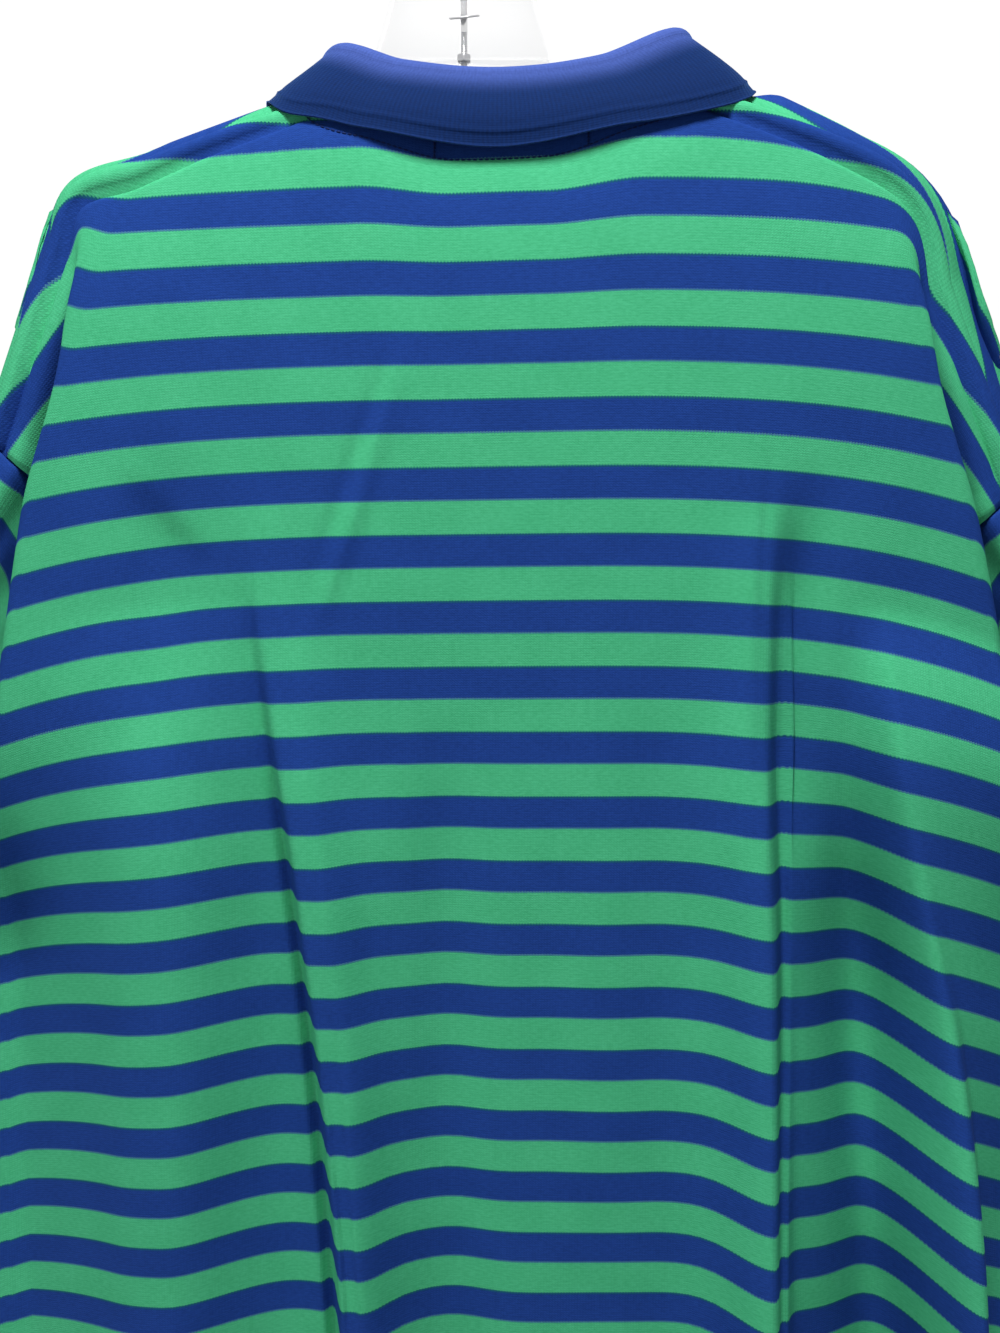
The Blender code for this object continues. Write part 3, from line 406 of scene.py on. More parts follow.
# %% The front
# How far the front swells forward at its centre, by the depth below the seam.
SWELL = table("depth forward", (
    (0.0, 0.0), (3.0, 2.0), (6.0, 4.8), (9.0, 6.8), (14.0, 8.8), (20.0, 10.2),
    (28.0, 11.4), (40.0, 11.8), (79.0, 10.4),
))
SWELL_HALF = 24.0        # centre to where the swell has mostly gone
RIGHT_LIFT = 1.3         # the front stands a little higher on the wearer's right
FRONT_FOLDS = (          # place, height, width, depth where it starts
    (-16.5, 1.1, 2.6, 20.0),
    (-6.2, -0.8, 2.2, 34.0),
    (5.4, 0.7, 2.4, 30.0),
    (14.8, 1.2, 2.5, 18.0),
)


def swell_share(size):
    """Share of the front's swell that is left this far from the centre."""
    return 1 - 0.72 * np.clip(size / SWELL_HALF, 0.0, 1.1) ** 2.2


def over_shoulder(t):
    """How far cloth past the seam has gone forward, and what it has not dropped."""
    steps = np.linspace(0.0, 14.0, 281)
    slope = np.interp(steps, (0.0, 1.6, 6.0, 14.0), np.radians((40.0, 0.0, -78.0, -88.0)))
    forward = np.concatenate([[0.0], np.cumsum(np.cos(slope[1:]) * 0.05)])
    drop = np.concatenate([[0.0], np.cumsum(-np.sin(slope[1:]) * 0.05)])
    return np.interp(t, steps, forward), np.interp(t, steps, steps - drop)


def front_surface(u, v):
    """The outer face of the front panel for a point of the flat cut."""
    u, v = np.broadcast_arrays(np.asarray(u, float), np.asarray(v, float))
    x, z, w, t = hang(u, v)
    line = seam_depth(np.maximum(np.abs(u), NECK_HALF), 0.0)
    edge_x, edge_z, edge_w, edge_t = hang(u, line)
    start = back_depth(edge_x, edge_w, edge_t, u, line)
    forward, lift = over_shoulder(t)
    swell = column(SWELL, "forward", v - line)
    flat = start - forward - swell * swell_share(np.abs(x))
    for place, height, width, start_v in FRONT_FOLDS:
        flat = flat - height * smooth(start_v, start_v + 26.0, v) * bell(x, place, width)
    below = past_armhole(v)
    edge = edge_of("edge_x", v, u >= 0)
    side = side_run(start - forward - swell * swell_share(edge), u, v, u >= 0)
    arm = column(ARMHOLE, "front_y", v) * (1 - below) + side * below
    w_y = w * smooth(0.3, 3.0, t)
    y = flat * (1 - w_y) + arm * w_y
    keep = 1 - smooth(9.0, 17.0, v) * w
    keep = keep - smooth(15.0, 30.0, v) * smooth(13.0, SWELL_HALF, np.abs(x)) * (1 - w)
    lift = lift * np.clip(keep, 0, 1)
    lift = lift + RIGHT_LIFT * smooth(0.0, 2.2, t) * np.exp(-t / 7.0) * smooth(-10.7, -13.2, u)
    angle = radians(51.0) * w
    x = x + np.sign(u) * lift * np.sin(angle)
    z = z + lift * np.cos(angle) * (1 - 0.5 * smooth(30.0, 79.0, v))
    y = y + before_front_edge(x, y, z, smooth(0.45, 0.95, w)) * smooth(0.08, 0.7, w)
    return np.stack([x, y, z], axis=-1)


print("front at 20 cm down:", np.round(front_surface(0.0, 20.0), 2))

# %% [markdown]
# ## Soft creases
# Worn cloth is never quite even. A cloth simulation could crease it, but not
# in chosen places, so each row here is one soft ridge or trough: its two ends
# in the flat cut (u1, v1, u2, v2), how far it stands out and how wide it is.
# A little long, slow waviness goes over all of it.

# %% Creases
BACK_CREASES = (
    (5.2, 12.6, 9.4, 22.6, 0.16, 0.45),
    (6.0, 12.7, 10.2, 22.0, -0.13, 0.5),
    (12.2, 13.2, 10.6, 24.0, -0.08, 0.8),
    (19.4, 15.6, 15.8, 19.8, 0.14, 0.6),
    (20.0, 17.4, 17.4, 20.6, -0.08, 0.7),
    (5.6, 27.5, 4.6, 36.0, 0.07, 0.7),
    (7.0, 24.0, 5.6, 32.0, -0.06, 0.9),
    (2.8, 34.0, 3.4, 50.0, -0.10, 1.3),
    (0.4, 33.0, 1.0, 54.0, 0.10, 1.5),
    (-2.6, 36.0, -2.0, 56.0, -0.08, 1.4),
    (-5.4, 30.0, -5.8, 52.0, 0.09, 1.6),
    (-8.4, 28.0, -9.0, 56.0, -0.10, 1.3),
    (-14.6, 17.0, -13.4, 30.0, 0.07, 0.9),
    (-16.6, 20.0, -16.8, 36.0, -0.12, 1.2),
    (14.6, 30.0, 13.2, 52.0, 0.12, 1.6),
    (17.6, 27.0, 17.0, 46.0, -0.10, 1.4),
    (20.4, 32.0, 20.6, 60.0, 0.14, 1.3),
    (-6.0, 4.6, -2.0, 7.4, 0.03, 1.2),
    (6.0, 4.8, 2.6, 7.6, 0.03, 1.2),
    (4.9, 13.4, 9.0, 22.4, 0.05, 0.40),
    (19.3, 16.4, 16.0, 20.6, -0.16, 0.5),
    (-13.9, 17.5, -13.7, 34.0, -0.12, 0.30),
    (-13.3, 19.0, -13.1, 34.0, 0.06, 0.40),
    (5.8, 28.2, 5.6, 35.9, -0.05, 0.30),
    (-15.9, 19.0, -16.3, 33.0, -0.80, 1.10),
    (-19.6, 22.0, -20.2, 36.0, 0.22, 1.4),
    (9.0, 40.0, 7.4, 62.0, -0.40, 0.95),
    (17.8, 17.0, 19.2, 29.0, -0.60, 2.2),
)
FRONT_CREASES = (
    (7.4, 12.0, 14.6, 24.0, 0.12, 0.9),
    (-7.6, 13.0, -15.4, 26.0, 0.13, 1.0),
    (10.4, 13.0, 17.6, 22.0, -0.09, 0.9),
    (-11.0, 14.0, -18.2, 24.0, -0.10, 0.8),
    (4.2, 25.0, 3.0, 44.0, 0.12, 1.2),
    (-2.4, 27.0, -3.6, 50.0, -0.10, 1.4),
    (9.0, 34.0, 10.4, 60.0, -0.12, 1.5),
    (-10.4, 36.0, -9.4, 62.0, 0.14, 1.5),
    (18.4, 30.0, 17.2, 56.0, 0.12, 1.3),
    (-19.6, 32.0, -19.0, 58.0, -0.10, 1.4),
    (1.0, 48.0, 6.4, 56.0, 0.08, 1.0),
    (-5.4, 52.0, -12.0, 60.0, 0.08, 1.1),
)
print(len(BACK_CREASES), "creases on the back,", len(FRONT_CREASES), "on the front")


# %% What stands out of the cloth
def creases(u, v, rows):
    """How far the soft creases lift the cloth at a point of the cut."""
    lift = np.zeros(np.broadcast(u, v).shape)
    for u1, v1, u2, v2, height, width in rows:
        run = np.array([u2 - u1, v2 - v1])
        length = np.hypot(*run)
        along = ((u - u1) * run[0] + (v - v1) * run[1]) / length ** 2
        across = ((u - u1) * run[1] - (v - v1) * run[0]) / length
        ends = smooth(-0.25, 0.3, along) * smooth(1.25, 0.6, along)
        lift = lift + height * ends * bell(across, 0.0, width)
    return lift


def waviness(u, v):
    """Long slow unevenness, the same on every run."""
    slow = np.sin(u * 0.41 + v * 0.083 + 0.6) * np.sin(v * 0.19 + u * 0.05)
    fine = np.sin(u * 0.93 - v * 0.21 + 1.9) * np.sin(v * 0.37 + 0.4 + u * 0.11)
    return 0.035 * slow + 0.018 * fine


def turned_hem(v):
    """The hem is two layers over its depth, and its edge rolls in."""
    band = smooth(LENGTH - HEM - 0.1, LENGTH - HEM + 0.1, v)
    return 0.05 * band - 0.07 * smooth(LENGTH - 0.35, LENGTH, v)


def shoulder_seam(u, v, neck_drop):
    """The seam sinks in, and its turnings lift a strip of cloth below it."""
    below = v - seam_depth(u, neck_drop)
    share = 1.0 if neck_drop < 5.0 else 0.25
    roll = 0.33 * np.sin(pi * np.clip(below / 1.1, 0.0, 1.0)) ** 0.7
    groove = 0.32 * bell(below, 1.2, 0.14)
    seen = share * (roll * smooth(8.0, 11.5, np.abs(u)) - groove * smooth(8.3, 9.6, np.abs(u)))
    return seen - 0.12 * bell(below, 0.0, 0.17)


def armhole_seam(u, v):
    """The sleeve's seam sinks in between two rolled edges."""
    away = half_width(v) - np.abs(u)
    return smooth(ARMPIT + 3.0, ARMPIT - 3.0, v) * (
        0.05 * smooth(0.0, 0.25, away) * smooth(1.1, 0.8, away)
        - 0.09 * bell(away, 0.0, 0.16)
    )


def all_detail(u, v, soft, below, neck_drop):
    """The soft unevenness, kept off the folded sides and the top, and the seams."""
    soft = soft * smooth(25.0, 21.0, np.abs(u)) * smooth(0.0, 3.0, below)
    return soft + turned_hem(v) + shoulder_seam(u, v, neck_drop) + armhole_seam(u, v)


def back_detail(u, v):
    soft = creases(u, v, BACK_CREASES) + waviness(u, v)
    return all_detail(u, v, soft, v - 1.2, NECK_DROP_BACK)


def front_detail(u, v):
    """The front stays even under the placket."""
    soft = creases(u, v, FRONT_CREASES) + waviness(u + 9.0, v + 4.0)
    soft = soft * smooth(1.5, 3.5, np.abs(u) + 4.0 * smooth(22.0, 26.0, v))
    return all_detail(u, v, soft, v - seam_depth(u, 0.0), NECK_DROP_FRONT)


# Each panel: its surface, its detail, its neck drop and the way it faces.
BACK = (back_surface, back_detail, NECK_DROP_BACK, -1)
FRONT = (front_surface, front_detail, NECK_DROP_FRONT, 1)
print("hem stands out by", round(float(turned_hem(LENGTH - 1.0)), 3), "cm")

# %% [markdown]
# ## Making a wall of cloth
# A grid of points becomes a thin closed wall: an outer face, an inner face
# 1.6 mm under it and an edge all round. A Solidify modifier could do it, but
# then sharp folds would pinch the wall. The flat place of each point is kept
# in a UV layer, in centimetres, so that the stripes follow the cut.

# %% From a grid to a cloth piece
made = {}


def to_world(points):
    """Shirt measure to the part's own place, in metres."""
    return (np.asarray(points) + (SHIRT_X, SHIRT_Y, NECK_Z)) * CM


def place_in_scene(name, data):
    """A new object that holds a mesh, a lamp or a camera."""
    thing = bpy.data.objects.new(name, data)
    bpy.context.scene.collection.objects.link(thing)
    return thing


def new_piece(name, points, faces, flat=None):
    """A mesh object with its faces turned out and, if given, its flat cut."""
    mesh = bpy.data.meshes.new(name)
    mesh.from_pydata([tuple(p) for p in points], [], faces)
    if flat is not None:
        layer = mesh.uv_layers.new(name="cut")
        index = np.zeros(len(mesh.loops), np.int32)
        mesh.loops.foreach_get("vertex_index", index)
        layer.data.foreach_set("uv", np.asarray(flat, np.float32)[index].ravel())
    body = bmesh.new()
    body.from_mesh(mesh)
    bmesh.ops.recalc_face_normals(body, faces=body.faces[:])
    body.to_mesh(mesh)
    body.free()
    mesh.shade_smooth()
    made[name] = place_in_scene(name, mesh)
    return made[name]


print("neck point in metres:", to_world((0.0, 0.0, 0.0)))


# %% Which way the cloth faces, and its wall
def grid_normals(grid, closed):
    """Unit normals of a grid of points, from its neighbours both ways."""
    if closed:
        across = np.roll(grid, -1, axis=1) - np.roll(grid, 1, axis=1)
    else:
        across = np.gradient(grid, axis=1)
    down = np.gradient(grid, axis=0)
    normal = np.cross(down, across)
    length = np.linalg.norm(normal, axis=-1, keepdims=True)
    return normal / np.maximum(length, 1e-9)


def surface_normals(surface, u, v, way):
    """The way a panel faces, felt just inside its own edges."""
    step = 0.25
    width = half_width(v)
    near, far = np.clip(u - step, -width, width), np.clip(u + step, -width, width)
    across = (surface(far, v) - surface(near, v)) / (far - near)[..., None]
    normal = np.cross(surface(u, v + step) - surface(u, v), across) * way
    normal = normal / np.linalg.norm(normal, axis=-1, keepdims=True)
    seam = smooth(0.5, 0.1, width - np.abs(u)) * smooth(ARMPIT - 0.6, ARMPIT, v)
    normal[..., 1] = normal[..., 1] * (1 - seam)
    return normal / np.linalg.norm(normal, axis=-1, keepdims=True)


def cloth_wall(name, grid, flat, normal, thick=CLOTH, closed=False):
    """A wall of cloth: the outer face is the grid, the inner lies under it."""
    rows, cols = grid.shape[:2]
    outer, inner = grid.reshape(-1, 3), (grid - normal * thick).reshape(-1, 3)
    points = np.concatenate([to_world(outer), to_world(inner)])
    under = rows * cols
    index = np.arange(under).reshape(rows, cols)
    if closed:
        index = np.concatenate([index, index[:, :1]], axis=1)
    a, b = index[:-1, :-1].ravel(), index[:-1, 1:].ravel()
    d, e = index[1:, 1:].ravel(), index[1:, :-1].ravel()
    faces = np.concatenate([np.stack([a, b, d, e], 1), np.stack([e, d, b, a], 1) + under])
    rims = [index[0, ::-1], index[-1]]
    if not closed:
        rims += [index[:, 0], index[::-1, -1]]
    for rim in rims:
        a, b = rim[:-1], rim[1:]
        faces = np.concatenate([faces, np.stack([a, b, b + under, a + under], 1)])
    flat = np.concatenate([flat.reshape(-1, 2), flat.reshape(-1, 2)])
    return new_piece(name, points, faces.tolist(), flat)


# %% [markdown]
# ## Back and front
# Two cut pieces of striped knit, joined at the shoulders and sides. Each is one
# grid over its flat cut, because the cut already has the panel's outline. The
# columns crowd together where the cloth folds under beside the sleeve, and the
# rows where the shoulders turn.

# %% Panels
def flat_grid(u, v):
    """Flat places of a grid whose columns share u, or whose rows share v."""
    return np.stack(np.broadcast_arrays(u, v), axis=-1)


FIRST_STRIPE = 2.9       # depth at which the stripes of a panel are counted from
SEAM_ROWS = (0.0, 0.0015, 0.003, 0.0045, 0.0065, 0.009, 0.012, 0.0155)


def spread(stops):
    """Places between stops: each pair is a place and the steps up to it."""
    places = [stops[0][0]]
    for (a, _), (b, steps) in zip(stops, stops[1:]):
        places += list(np.linspace(a, b, steps + 1)[1:])
    return np.array(places)


def panel_cut(neck_drop):
    """The flat cut of a panel on a fine grid."""
    left = spread([(0.0, 0), (3.6, 8), (8.2, 46), (NECK_HALF, 4), (SEAM_EDGE, 24)]) / SEAM_EDGE
    right = spread([(0.0, 0), (7.6, 18), (NECK_HALF, 4), (9.1, 3), (10.4, 15), (13.0, 8),
                    (16.6, 36), (SEAM_EDGE, 4)]) / SEAM_EDGE
    outer = spread([(0.0, 0), (0.5, 22), (0.96, 19), (1.0, 5)])[1:]
    columns = [(-1, 1.0, c) for c in outer[::-1]] + [(-1, c, 0.0) for c in right[:0:-1]]
    columns += [(1, c, 0.0) for c in left] + [(1, 1.0, c) for c in outer]
    lower = spread([(0.0155, 0), (0.023, 6), (0.08, 15), (0.3, 44), (0.965, 88), (0.975, 3),
                    (0.994, 4), (1.0, 3)])
    rows = np.concatenate([SEAM_ROWS, lower[1:]])
    flat = np.zeros((len(rows), len(columns), 2))
    for i, (side, inside, outside) in enumerate(columns):
        u = inside * SEAM_EDGE + outside * (SHOULDER_HALF - SEAM_EDGE)
        top = seam_depth(u, neck_drop) + SEAM_GAP / 2
        v = top + (LENGTH - top) * rows
        edge = column(EDGES[side], "edge_cloth", v) - SEAM_EDGE
        edge = SEAM_EDGE + edge * smooth(0.0, 0.07, rows)
        width = half_width(v) - SEAM_GAP / 2
        flat[:, i, 0] = side * (inside * edge + outside * (width - edge))
        flat[:, i, 1] = v
    return flat


def panel(name, surface, detail, neck_drop, way):
    """One cut piece, hung and given its detail; its v is counted for the stripes."""
    flat = panel_cut(neck_drop)
    u, v = flat[..., 0], flat[..., 1]
    normal = surface_normals(surface, u, v, way)
    grid = surface(u, v) + normal * detail(u, v)[..., None]
    # The cloth is drawn up along the right shoulder seam, more towards the sleeve.
    below = v - seam_depth(u, neck_drop)
    drawn = 0.115 * np.clip(-8.8 - u, 0.0, 13.0) * bell(below, 0.0, 1.7)
    flat[..., 1] -= FIRST_STRIPE + drawn
    return cloth_wall(name, grid, flat, normal)


panel("shirt_back", *BACK)
panel("shirt_front", *FRONT)
print("back panel has", len(made["shirt_back"].data.polygons), "faces")

# %% [markdown]
# ## Sleeves
# A short sleeve is a tube that is sewn in at the armhole. It starts from the
# armhole's own points, so that it always meets the body, and closes to its
# cuff. Its stripes run level with the armhole, so v counts from the seam.

# %% From the armhole to the cuff
# The sleeve's opening: its centre from the neck point, its half widths, and how
# much further out and down the right one lies.
CUFF = {"across": 28.3, "height": -40.4, "half_x": 2.2, "half_y": 8.2, "right": 0.7}
ARMHOLE_ROWS = SHOULDER_DROP + ARMHOLE_DEPTH * np.linspace(0.0, 1.0, 64) ** 1.2


def armhole_loop(down, side, inset):
    """Points round the armhole: from the shoulder tip down the back, then up."""
    v = np.concatenate([down, down[-2:0:-1]])
    f = (v - SHOULDER_DROP) / ARMHOLE_DEPTH / 2
    f[len(down):] = 1 - f[len(down):]
    u = side * (half_width(v) - inset)
    on_back = f <= 0.5
    return np.where(on_back[:, None], back_surface(u, v), front_surface(u, v)), f, v


def sleeve_surface(side, down, along):
    """Rings from the armhole to the cuff; each is a closed loop of points."""
    start, f, v = armhole_loop(down, side, 0.0)
    start = start * (side, 1, 1)
    angle = np.radians(column(ARMHOLE, "turn", v))
    turn = 2 * pi * f
    more = CUFF["right"] if side < 0 else 0.0
    centre = np.array([CUFF["across"] + more, SIDE_Y + 0.4, CUFF["height"] - more])
    out = np.cos(turn)
    ring = np.stack([
        centre[0] + CUFF["half_x"] * out,
        centre[1] + CUFF["half_y"] * np.sin(turn),
        centre[2] + CUFF["half_x"] * out * 0.5,
    ], axis=-1)
    lower = smooth(0.35, 1.0, np.where(f <= 0.5, 2 * f, 2 * (1 - f)))
    leave = np.stack([
        np.cos(angle) * (1 - lower) + 0.9 * lower,
        0.0 * f,
        -np.sin(np.maximum(angle, 0.0)) * (1 - lower) - 0.45 * lower,
    ], axis=-1)
    folded = smooth(11.0, 14.0, v) * smooth(29.0, 26.5, v)
    start = start + leave * (SEAM_GAP + 0.02)
    start[:, 1] = start[:, 1] - 0.2 * folded * np.where(f <= 0.5, 1, -1)
    arrive = np.array([0.14, 0.0, -0.99])
    reach = np.linalg.norm(ring - start, axis=1)[:, None]
    rows = []
    for t in along:
        a = (1 + 2 * t) * (1 - t) ** 2
        b = t * (1 - t) ** 2
        c = t * t * (3 - 2 * t)
        d = -t * t * (1 - t)
        rows.append(a * start + b * leave * reach * 0.9 + c * ring + d * arrive * reach * 0.9)
    grid = np.array(rows) * (side, 1, 1)
    x, y, z = grid[..., 0], grid[..., 1], grid[..., 2]
    y = y - behind_back_edge(x, y, z, 1.3) + before_front_edge(x, y, z, 1.3)
    return np.stack([x, y, z], axis=-1)


print("cuff is", 2 * CUFF["half_y"], "cm deep")


# %% Sleeves and the turnings inside them
def sleeve(name, side):
    """The tube with a turned cuff, slow waves and a sunk seam."""
    along = spread([(0.0, 0), (0.03, 4), (0.9, 44), (0.915, 2), (0.985, 3), (1.0, 3)])
    grid = sleeve_surface(side, ARMHOLE_ROWS, along)
    normal = grid_normals(grid, True) * side
    length = along[:, None] * SLEEVE_LENGTH
    turn = np.arange(grid.shape[1]) / grid.shape[1]
    around = 2 * ARMHOLE_DEPTH * np.minimum(turn, 1 - turn)
    flat = flat_grid(around, length - 1.0)
    lift = 0.05 * smooth(21.6, 21.8, length) - 0.06 * smooth(23.6, SLEEVE_LENGTH, length)
    lift = lift + 0.04 * np.sin(around * 0.9 + length * 0.3) * smooth(3.0, 10.0, length)
    lift = lift - 0.08 * bell(length, 0.0, 0.3)
    return cloth_wall(name, grid + normal * lift[..., None], flat, normal, closed=True)


def turnings(name, side):
    """The raw edges of the armhole seam, pressed flat under it."""
    inside, rows = CLOTH + 0.1, []
    for inset in (0.75, 0.02):
        place, f, v = armhole_loop(ARMHOLE_ROWS, side, inset)
        u = side * (half_width(v) - inset)
        out = [surface_normals(surface, u[None], v[None], way)[0] for surface, _, _, way in (BACK, FRONT)]
        rows.append(place - np.where((f <= 0.5)[:, None], *out) * inside)
    ring = sleeve_surface(side, ARMHOLE_ROWS, (0.0, 0.03, 0.06))
    out = grid_normals(ring, True) * side
    grid = np.array(rows + [ring[1] - out[1] * inside])
    flat = flat_grid(np.arange(grid.shape[1]) * 0.7, np.arange(3)[:, None] * 0.8)
    return cloth_wall(name, grid, flat, grid_normals(grid, True) * side, thick=0.06, closed=True)


turnings("armhole_turnings_left", +1)
turnings("armhole_turnings_right", -1)
sleeve("shirt_sleeve_left", +1)
sleeve("shirt_sleeve_right", -1)
print("sleeve has", len(made["shirt_sleeve_left"].data.polygons), "faces")

# %% [markdown]
# ## Collar
# A rib collar in one piece: it stands up from the neck seam, folds over and
# falls to a free edge. A shallow groove runs just above that edge. A table
# says where its fold and its edge pass, and the fall is then moved clear of
# the cloth under it, the way real cloth rests on what it meets.

# %% The collar's shape
# Each row is a place round the neck, from one front end (-1) past
# the centre back (0) to the other; the fold line and the free edge pass there.
# Heights are measured from the neck point.
COLLAR = table("round fold_x fold_y fold_z edge_x edge_y edge_z", (
    (-1.00, -1.3, -8.0, -3.6, -4.6, -10.6, -8.6),
    (-0.80, -5.6, -5.9, -1.9, -8.2, -8.7, -6.0),
    (-0.60, -8.1, -1.9, 1.2, -11.5, -3.8, -1.8),
    (-0.42, -8.2, 2.0, 3.1, -11.4, 1.9, 0.5),
    (-0.22, -4.4, 3.5, 1.6, -6.2, 4.5, -1.2),
    (0.00, 0.0, 3.6, 1.05, 0.0, 4.9, -2.5),
    (0.22, 4.2, 3.5, 1.4, 6.0, 4.5, -1.6),
    (0.42, 7.4, 2.0, 2.4, 10.1, 1.9, -0.4),
    (0.60, 8.2, -1.9, 0.8, 10.7, -3.8, -2.6),
    (0.80, 5.5, -5.9, -1.9, 8.2, -8.7, -6.0),
    (1.00, 1.3, -8.0, -3.6, 4.6, -10.6, -8.6),
))
NECK_SHARE = 0.42        # share of the collar's half that lies on the back


def neck_seam(s):
    """The neck seam at a signed share of the way round from centre back."""
    s = np.asarray(s, float)
    size = np.abs(s)
    on_back = size <= NECK_SHARE
    turn = np.where(on_back, size / NECK_SHARE, (1 - size) / (1 - NECK_SHARE))
    u = np.sign(s) * NECK_HALF * np.sin(turn * pi / 2)
    u = np.where(on_back, u, np.sign(s) * np.maximum(np.abs(u), 0.15))
    back = back_surface(u, seam_depth(u, NECK_DROP_BACK))
    front = front_surface(u, seam_depth(u, NECK_DROP_FRONT))
    return np.where(on_back[:, None], back, front)


STAND_TOP, FALL_TOP = 0.42, 0.58     # where the fold starts and ends, through the rib


def collar_surface(around, through):
    """The collar from its seam up the stand, over the fold and down the fall."""
    s = np.asarray(around, float)
    base = neck_seam(s)
    fold = np.stack([column(COLLAR, "fold_" + way, s) for way in "xyz"], axis=-1)
    edge = np.stack([column(COLLAR, "edge_" + way, s) for way in "xyz"], axis=-1)
    lower = bell(s, -0.36, 0.12) + 0.8 * uneven_bell(s, 0.38, 0.1, 0.08)
    edge[:, 1:] += np.stack([0.6 * lower, -0.75 * lower], axis=-1)
    away = edge - fold
    away[:, 2] = 0.0
    away = away / np.linalg.norm(away, axis=1)[:, None]
    up = np.array([0.0, 0.0, 1.0])
    rise = fold - base
    base = base + 0.16 * rise / np.linalg.norm(rise, axis=1)[:, None] - 0.3 * away
    inner = fold - away * 0.28 - up * 0.3
    outer = fold + away * 0.28 - up * 0.3
    rows = []
    for t in through:
        if t < STAND_TOP:
            k = t / STAND_TOP
            point = base + (inner - base) * k - away * 0.25 * sin(pi * k)
        elif t < FALL_TOP:
            k = pi * (t - STAND_TOP) / 0.16
            point = fold - away * 0.28 * cos(k) + up * (0.3 * sin(k) - 0.3)
        else:
            k = (t - FALL_TOP) / 0.42
            point = outer + (edge - outer) * k + away * 0.35 * sin(pi * k)
        rows.append(point)
    return np.array(rows)


print("collar folds", column(COLLAR, "fold_z", 0.0), "cm above the neck point")


# %% Keeping the fall clear of the shoulders
def body_samples():
    """Points of the shirt beside the neck in a search tree, with normals."""
    places, facing = [], []
    for surface, _, drop, way in (BACK, FRONT):
        u = np.linspace(-17.0, 17.0, 137)[None, :]
        below = np.linspace(0.0, 14.0, 57)[:, None]
        u, v = np.broadcast_arrays(u, seam_depth(u, drop) + below)
        places.append(surface(u, v).reshape(-1, 3))
        facing.append(surface_normals(surface, u, v, way).reshape(-1, 3))
    places, facing = np.concatenate(places), np.concatenate(facing)
    tree = KDTree(len(places))
    for i, place in enumerate(places):
        tree.insert(place, i)
    tree.balance()
    return tree, places, facing


def evened(rows):
    """Each inner row blended with the two beside it."""
    return (rows[:-2] + 2 * rows[1:-1] + rows[2:]) / 4


def longer(a, b):
    """Of two sets of moves, the longer one at each place."""
    more = np.linalg.norm(a, axis=-1) > np.linalg.norm(b, axis=-1)
    return np.where(more[..., None], a, b)


def run_down(grid):
    """Length along each column of a grid, from its first row."""
    step = np.linalg.norm(np.diff(grid, axis=0), axis=-1)
    return np.concatenate([np.zeros_like(step[:1]), np.cumsum(step, axis=0)])


def stand_clear(grid, gap, first, around):
    """Keep the fall off the cloth under it, and end it where it meets the shoulder."""
    tree, places, facing = body_samples()

    def clearance(point):
        _, i, _ = tree.find(Vector(point))
        return float(np.dot(point - places[i], facing[i])), facing[i]

    rows, cols = grid.shape[:2]
    last = rows - 1
    reach = np.full(cols, float(last))
    for c in range(cols):
        near = [r for r in range(first, rows) if clearance(grid[r, c])[0] < gap]
        if near:
            reach[c] = near[0]
    longest = 1 - 0.3 * np.exp(-((np.abs(around) - 0.49) / 0.055) ** 4)
    reach = np.maximum(reach, first + longest * (last - first))
    for _ in range(20):
        reach[1:-1] = evened(reach)
    for c in range(cols):
        at = first + (reach[c] - first) * np.linspace(0.0, 1.0, rows - first)
        for k in range(3):
            grid[first:, c, k] = np.interp(at, np.arange(rows), grid[:, c, k].copy())
    push = np.zeros_like(grid)
    for r in range(first, rows):
        for c in range(cols):
            point = grid[r, c].copy()
            for _ in range(3):
                off, way = clearance(point)
                if off < gap:
                    point += way * (gap - off)
            push[r, c] = point - grid[r, c]
    for _ in range(16):
        push[:, 1:-1] = evened(push.swapaxes(0, 1)).swapaxes(0, 1)
        soft = push.copy()
        soft[first:-1] = evened(push[first - 1:])
        push = longer(soft, push)
    # The fall swings out evenly over its whole depth to where its edge must be.
    down = run_down(grid[first:])
    swing = np.zeros_like(grid)
    swing[first:] = ((down / down[-1]) ** 2)[..., None] * push[-1]
    return grid + longer(swing, push)


# %% Collar
def collar():
    """One rib piece, with a groove above its edge and its v counted from the fold."""
    turn = np.linspace(0.0, 1.0, 82)
    half = np.concatenate([NECK_SHARE * turn, NECK_SHARE + (0.985 - NECK_SHARE) * turn[1:]])
    around = np.concatenate([-half[:0:-1], half])
    through = spread([(0.0, 0), (0.4, 14), (0.6, 14), (0.92, 20), (0.97, 8), (1.0, 6)])
    fold_row, fall_row = 21, 28      # rows of the grid at the fold line and under it
    grid = stand_clear(collar_surface(around, through), 0.15, fall_row, around)
    normal = grid_normals(grid, False)
    down = run_down(grid)
    left = down[-1] - down
    groove = 0.06 * bell(left, 0.65, 0.09) + 0.05 * smooth(0.12, 0.0, left)
    thin = (0.18 - 0.08 * smooth(1.2, 0.1, left))[..., None]
    width = run_down(grid[fall_row + 2])
    flat = flat_grid(width - width.mean(), down - down[fold_row])
    return cloth_wall("shirt_collar", grid - normal * groove[..., None], flat, normal, thin)


collar()
print("collar has", len(made["shirt_collar"].data.polygons), "faces")

# %% [markdown]
# ## Placket and buttons
# The front opening has a band on top and one underneath, and three buttons
# that sit in upright buttonholes. The bands are made from the front panel's
# own points, moved out, so they lie on it everywhere. A button is a turned
# disc with four holes; a boolean could drill them, but a lower height at each
# hole keeps the mesh clean.

# %% Placket
PLACKET_HALF, PLACKET_END = 1.6, 22.6
BAND_FACE = CLOTH + 0.045     # from the panel's face to the band's


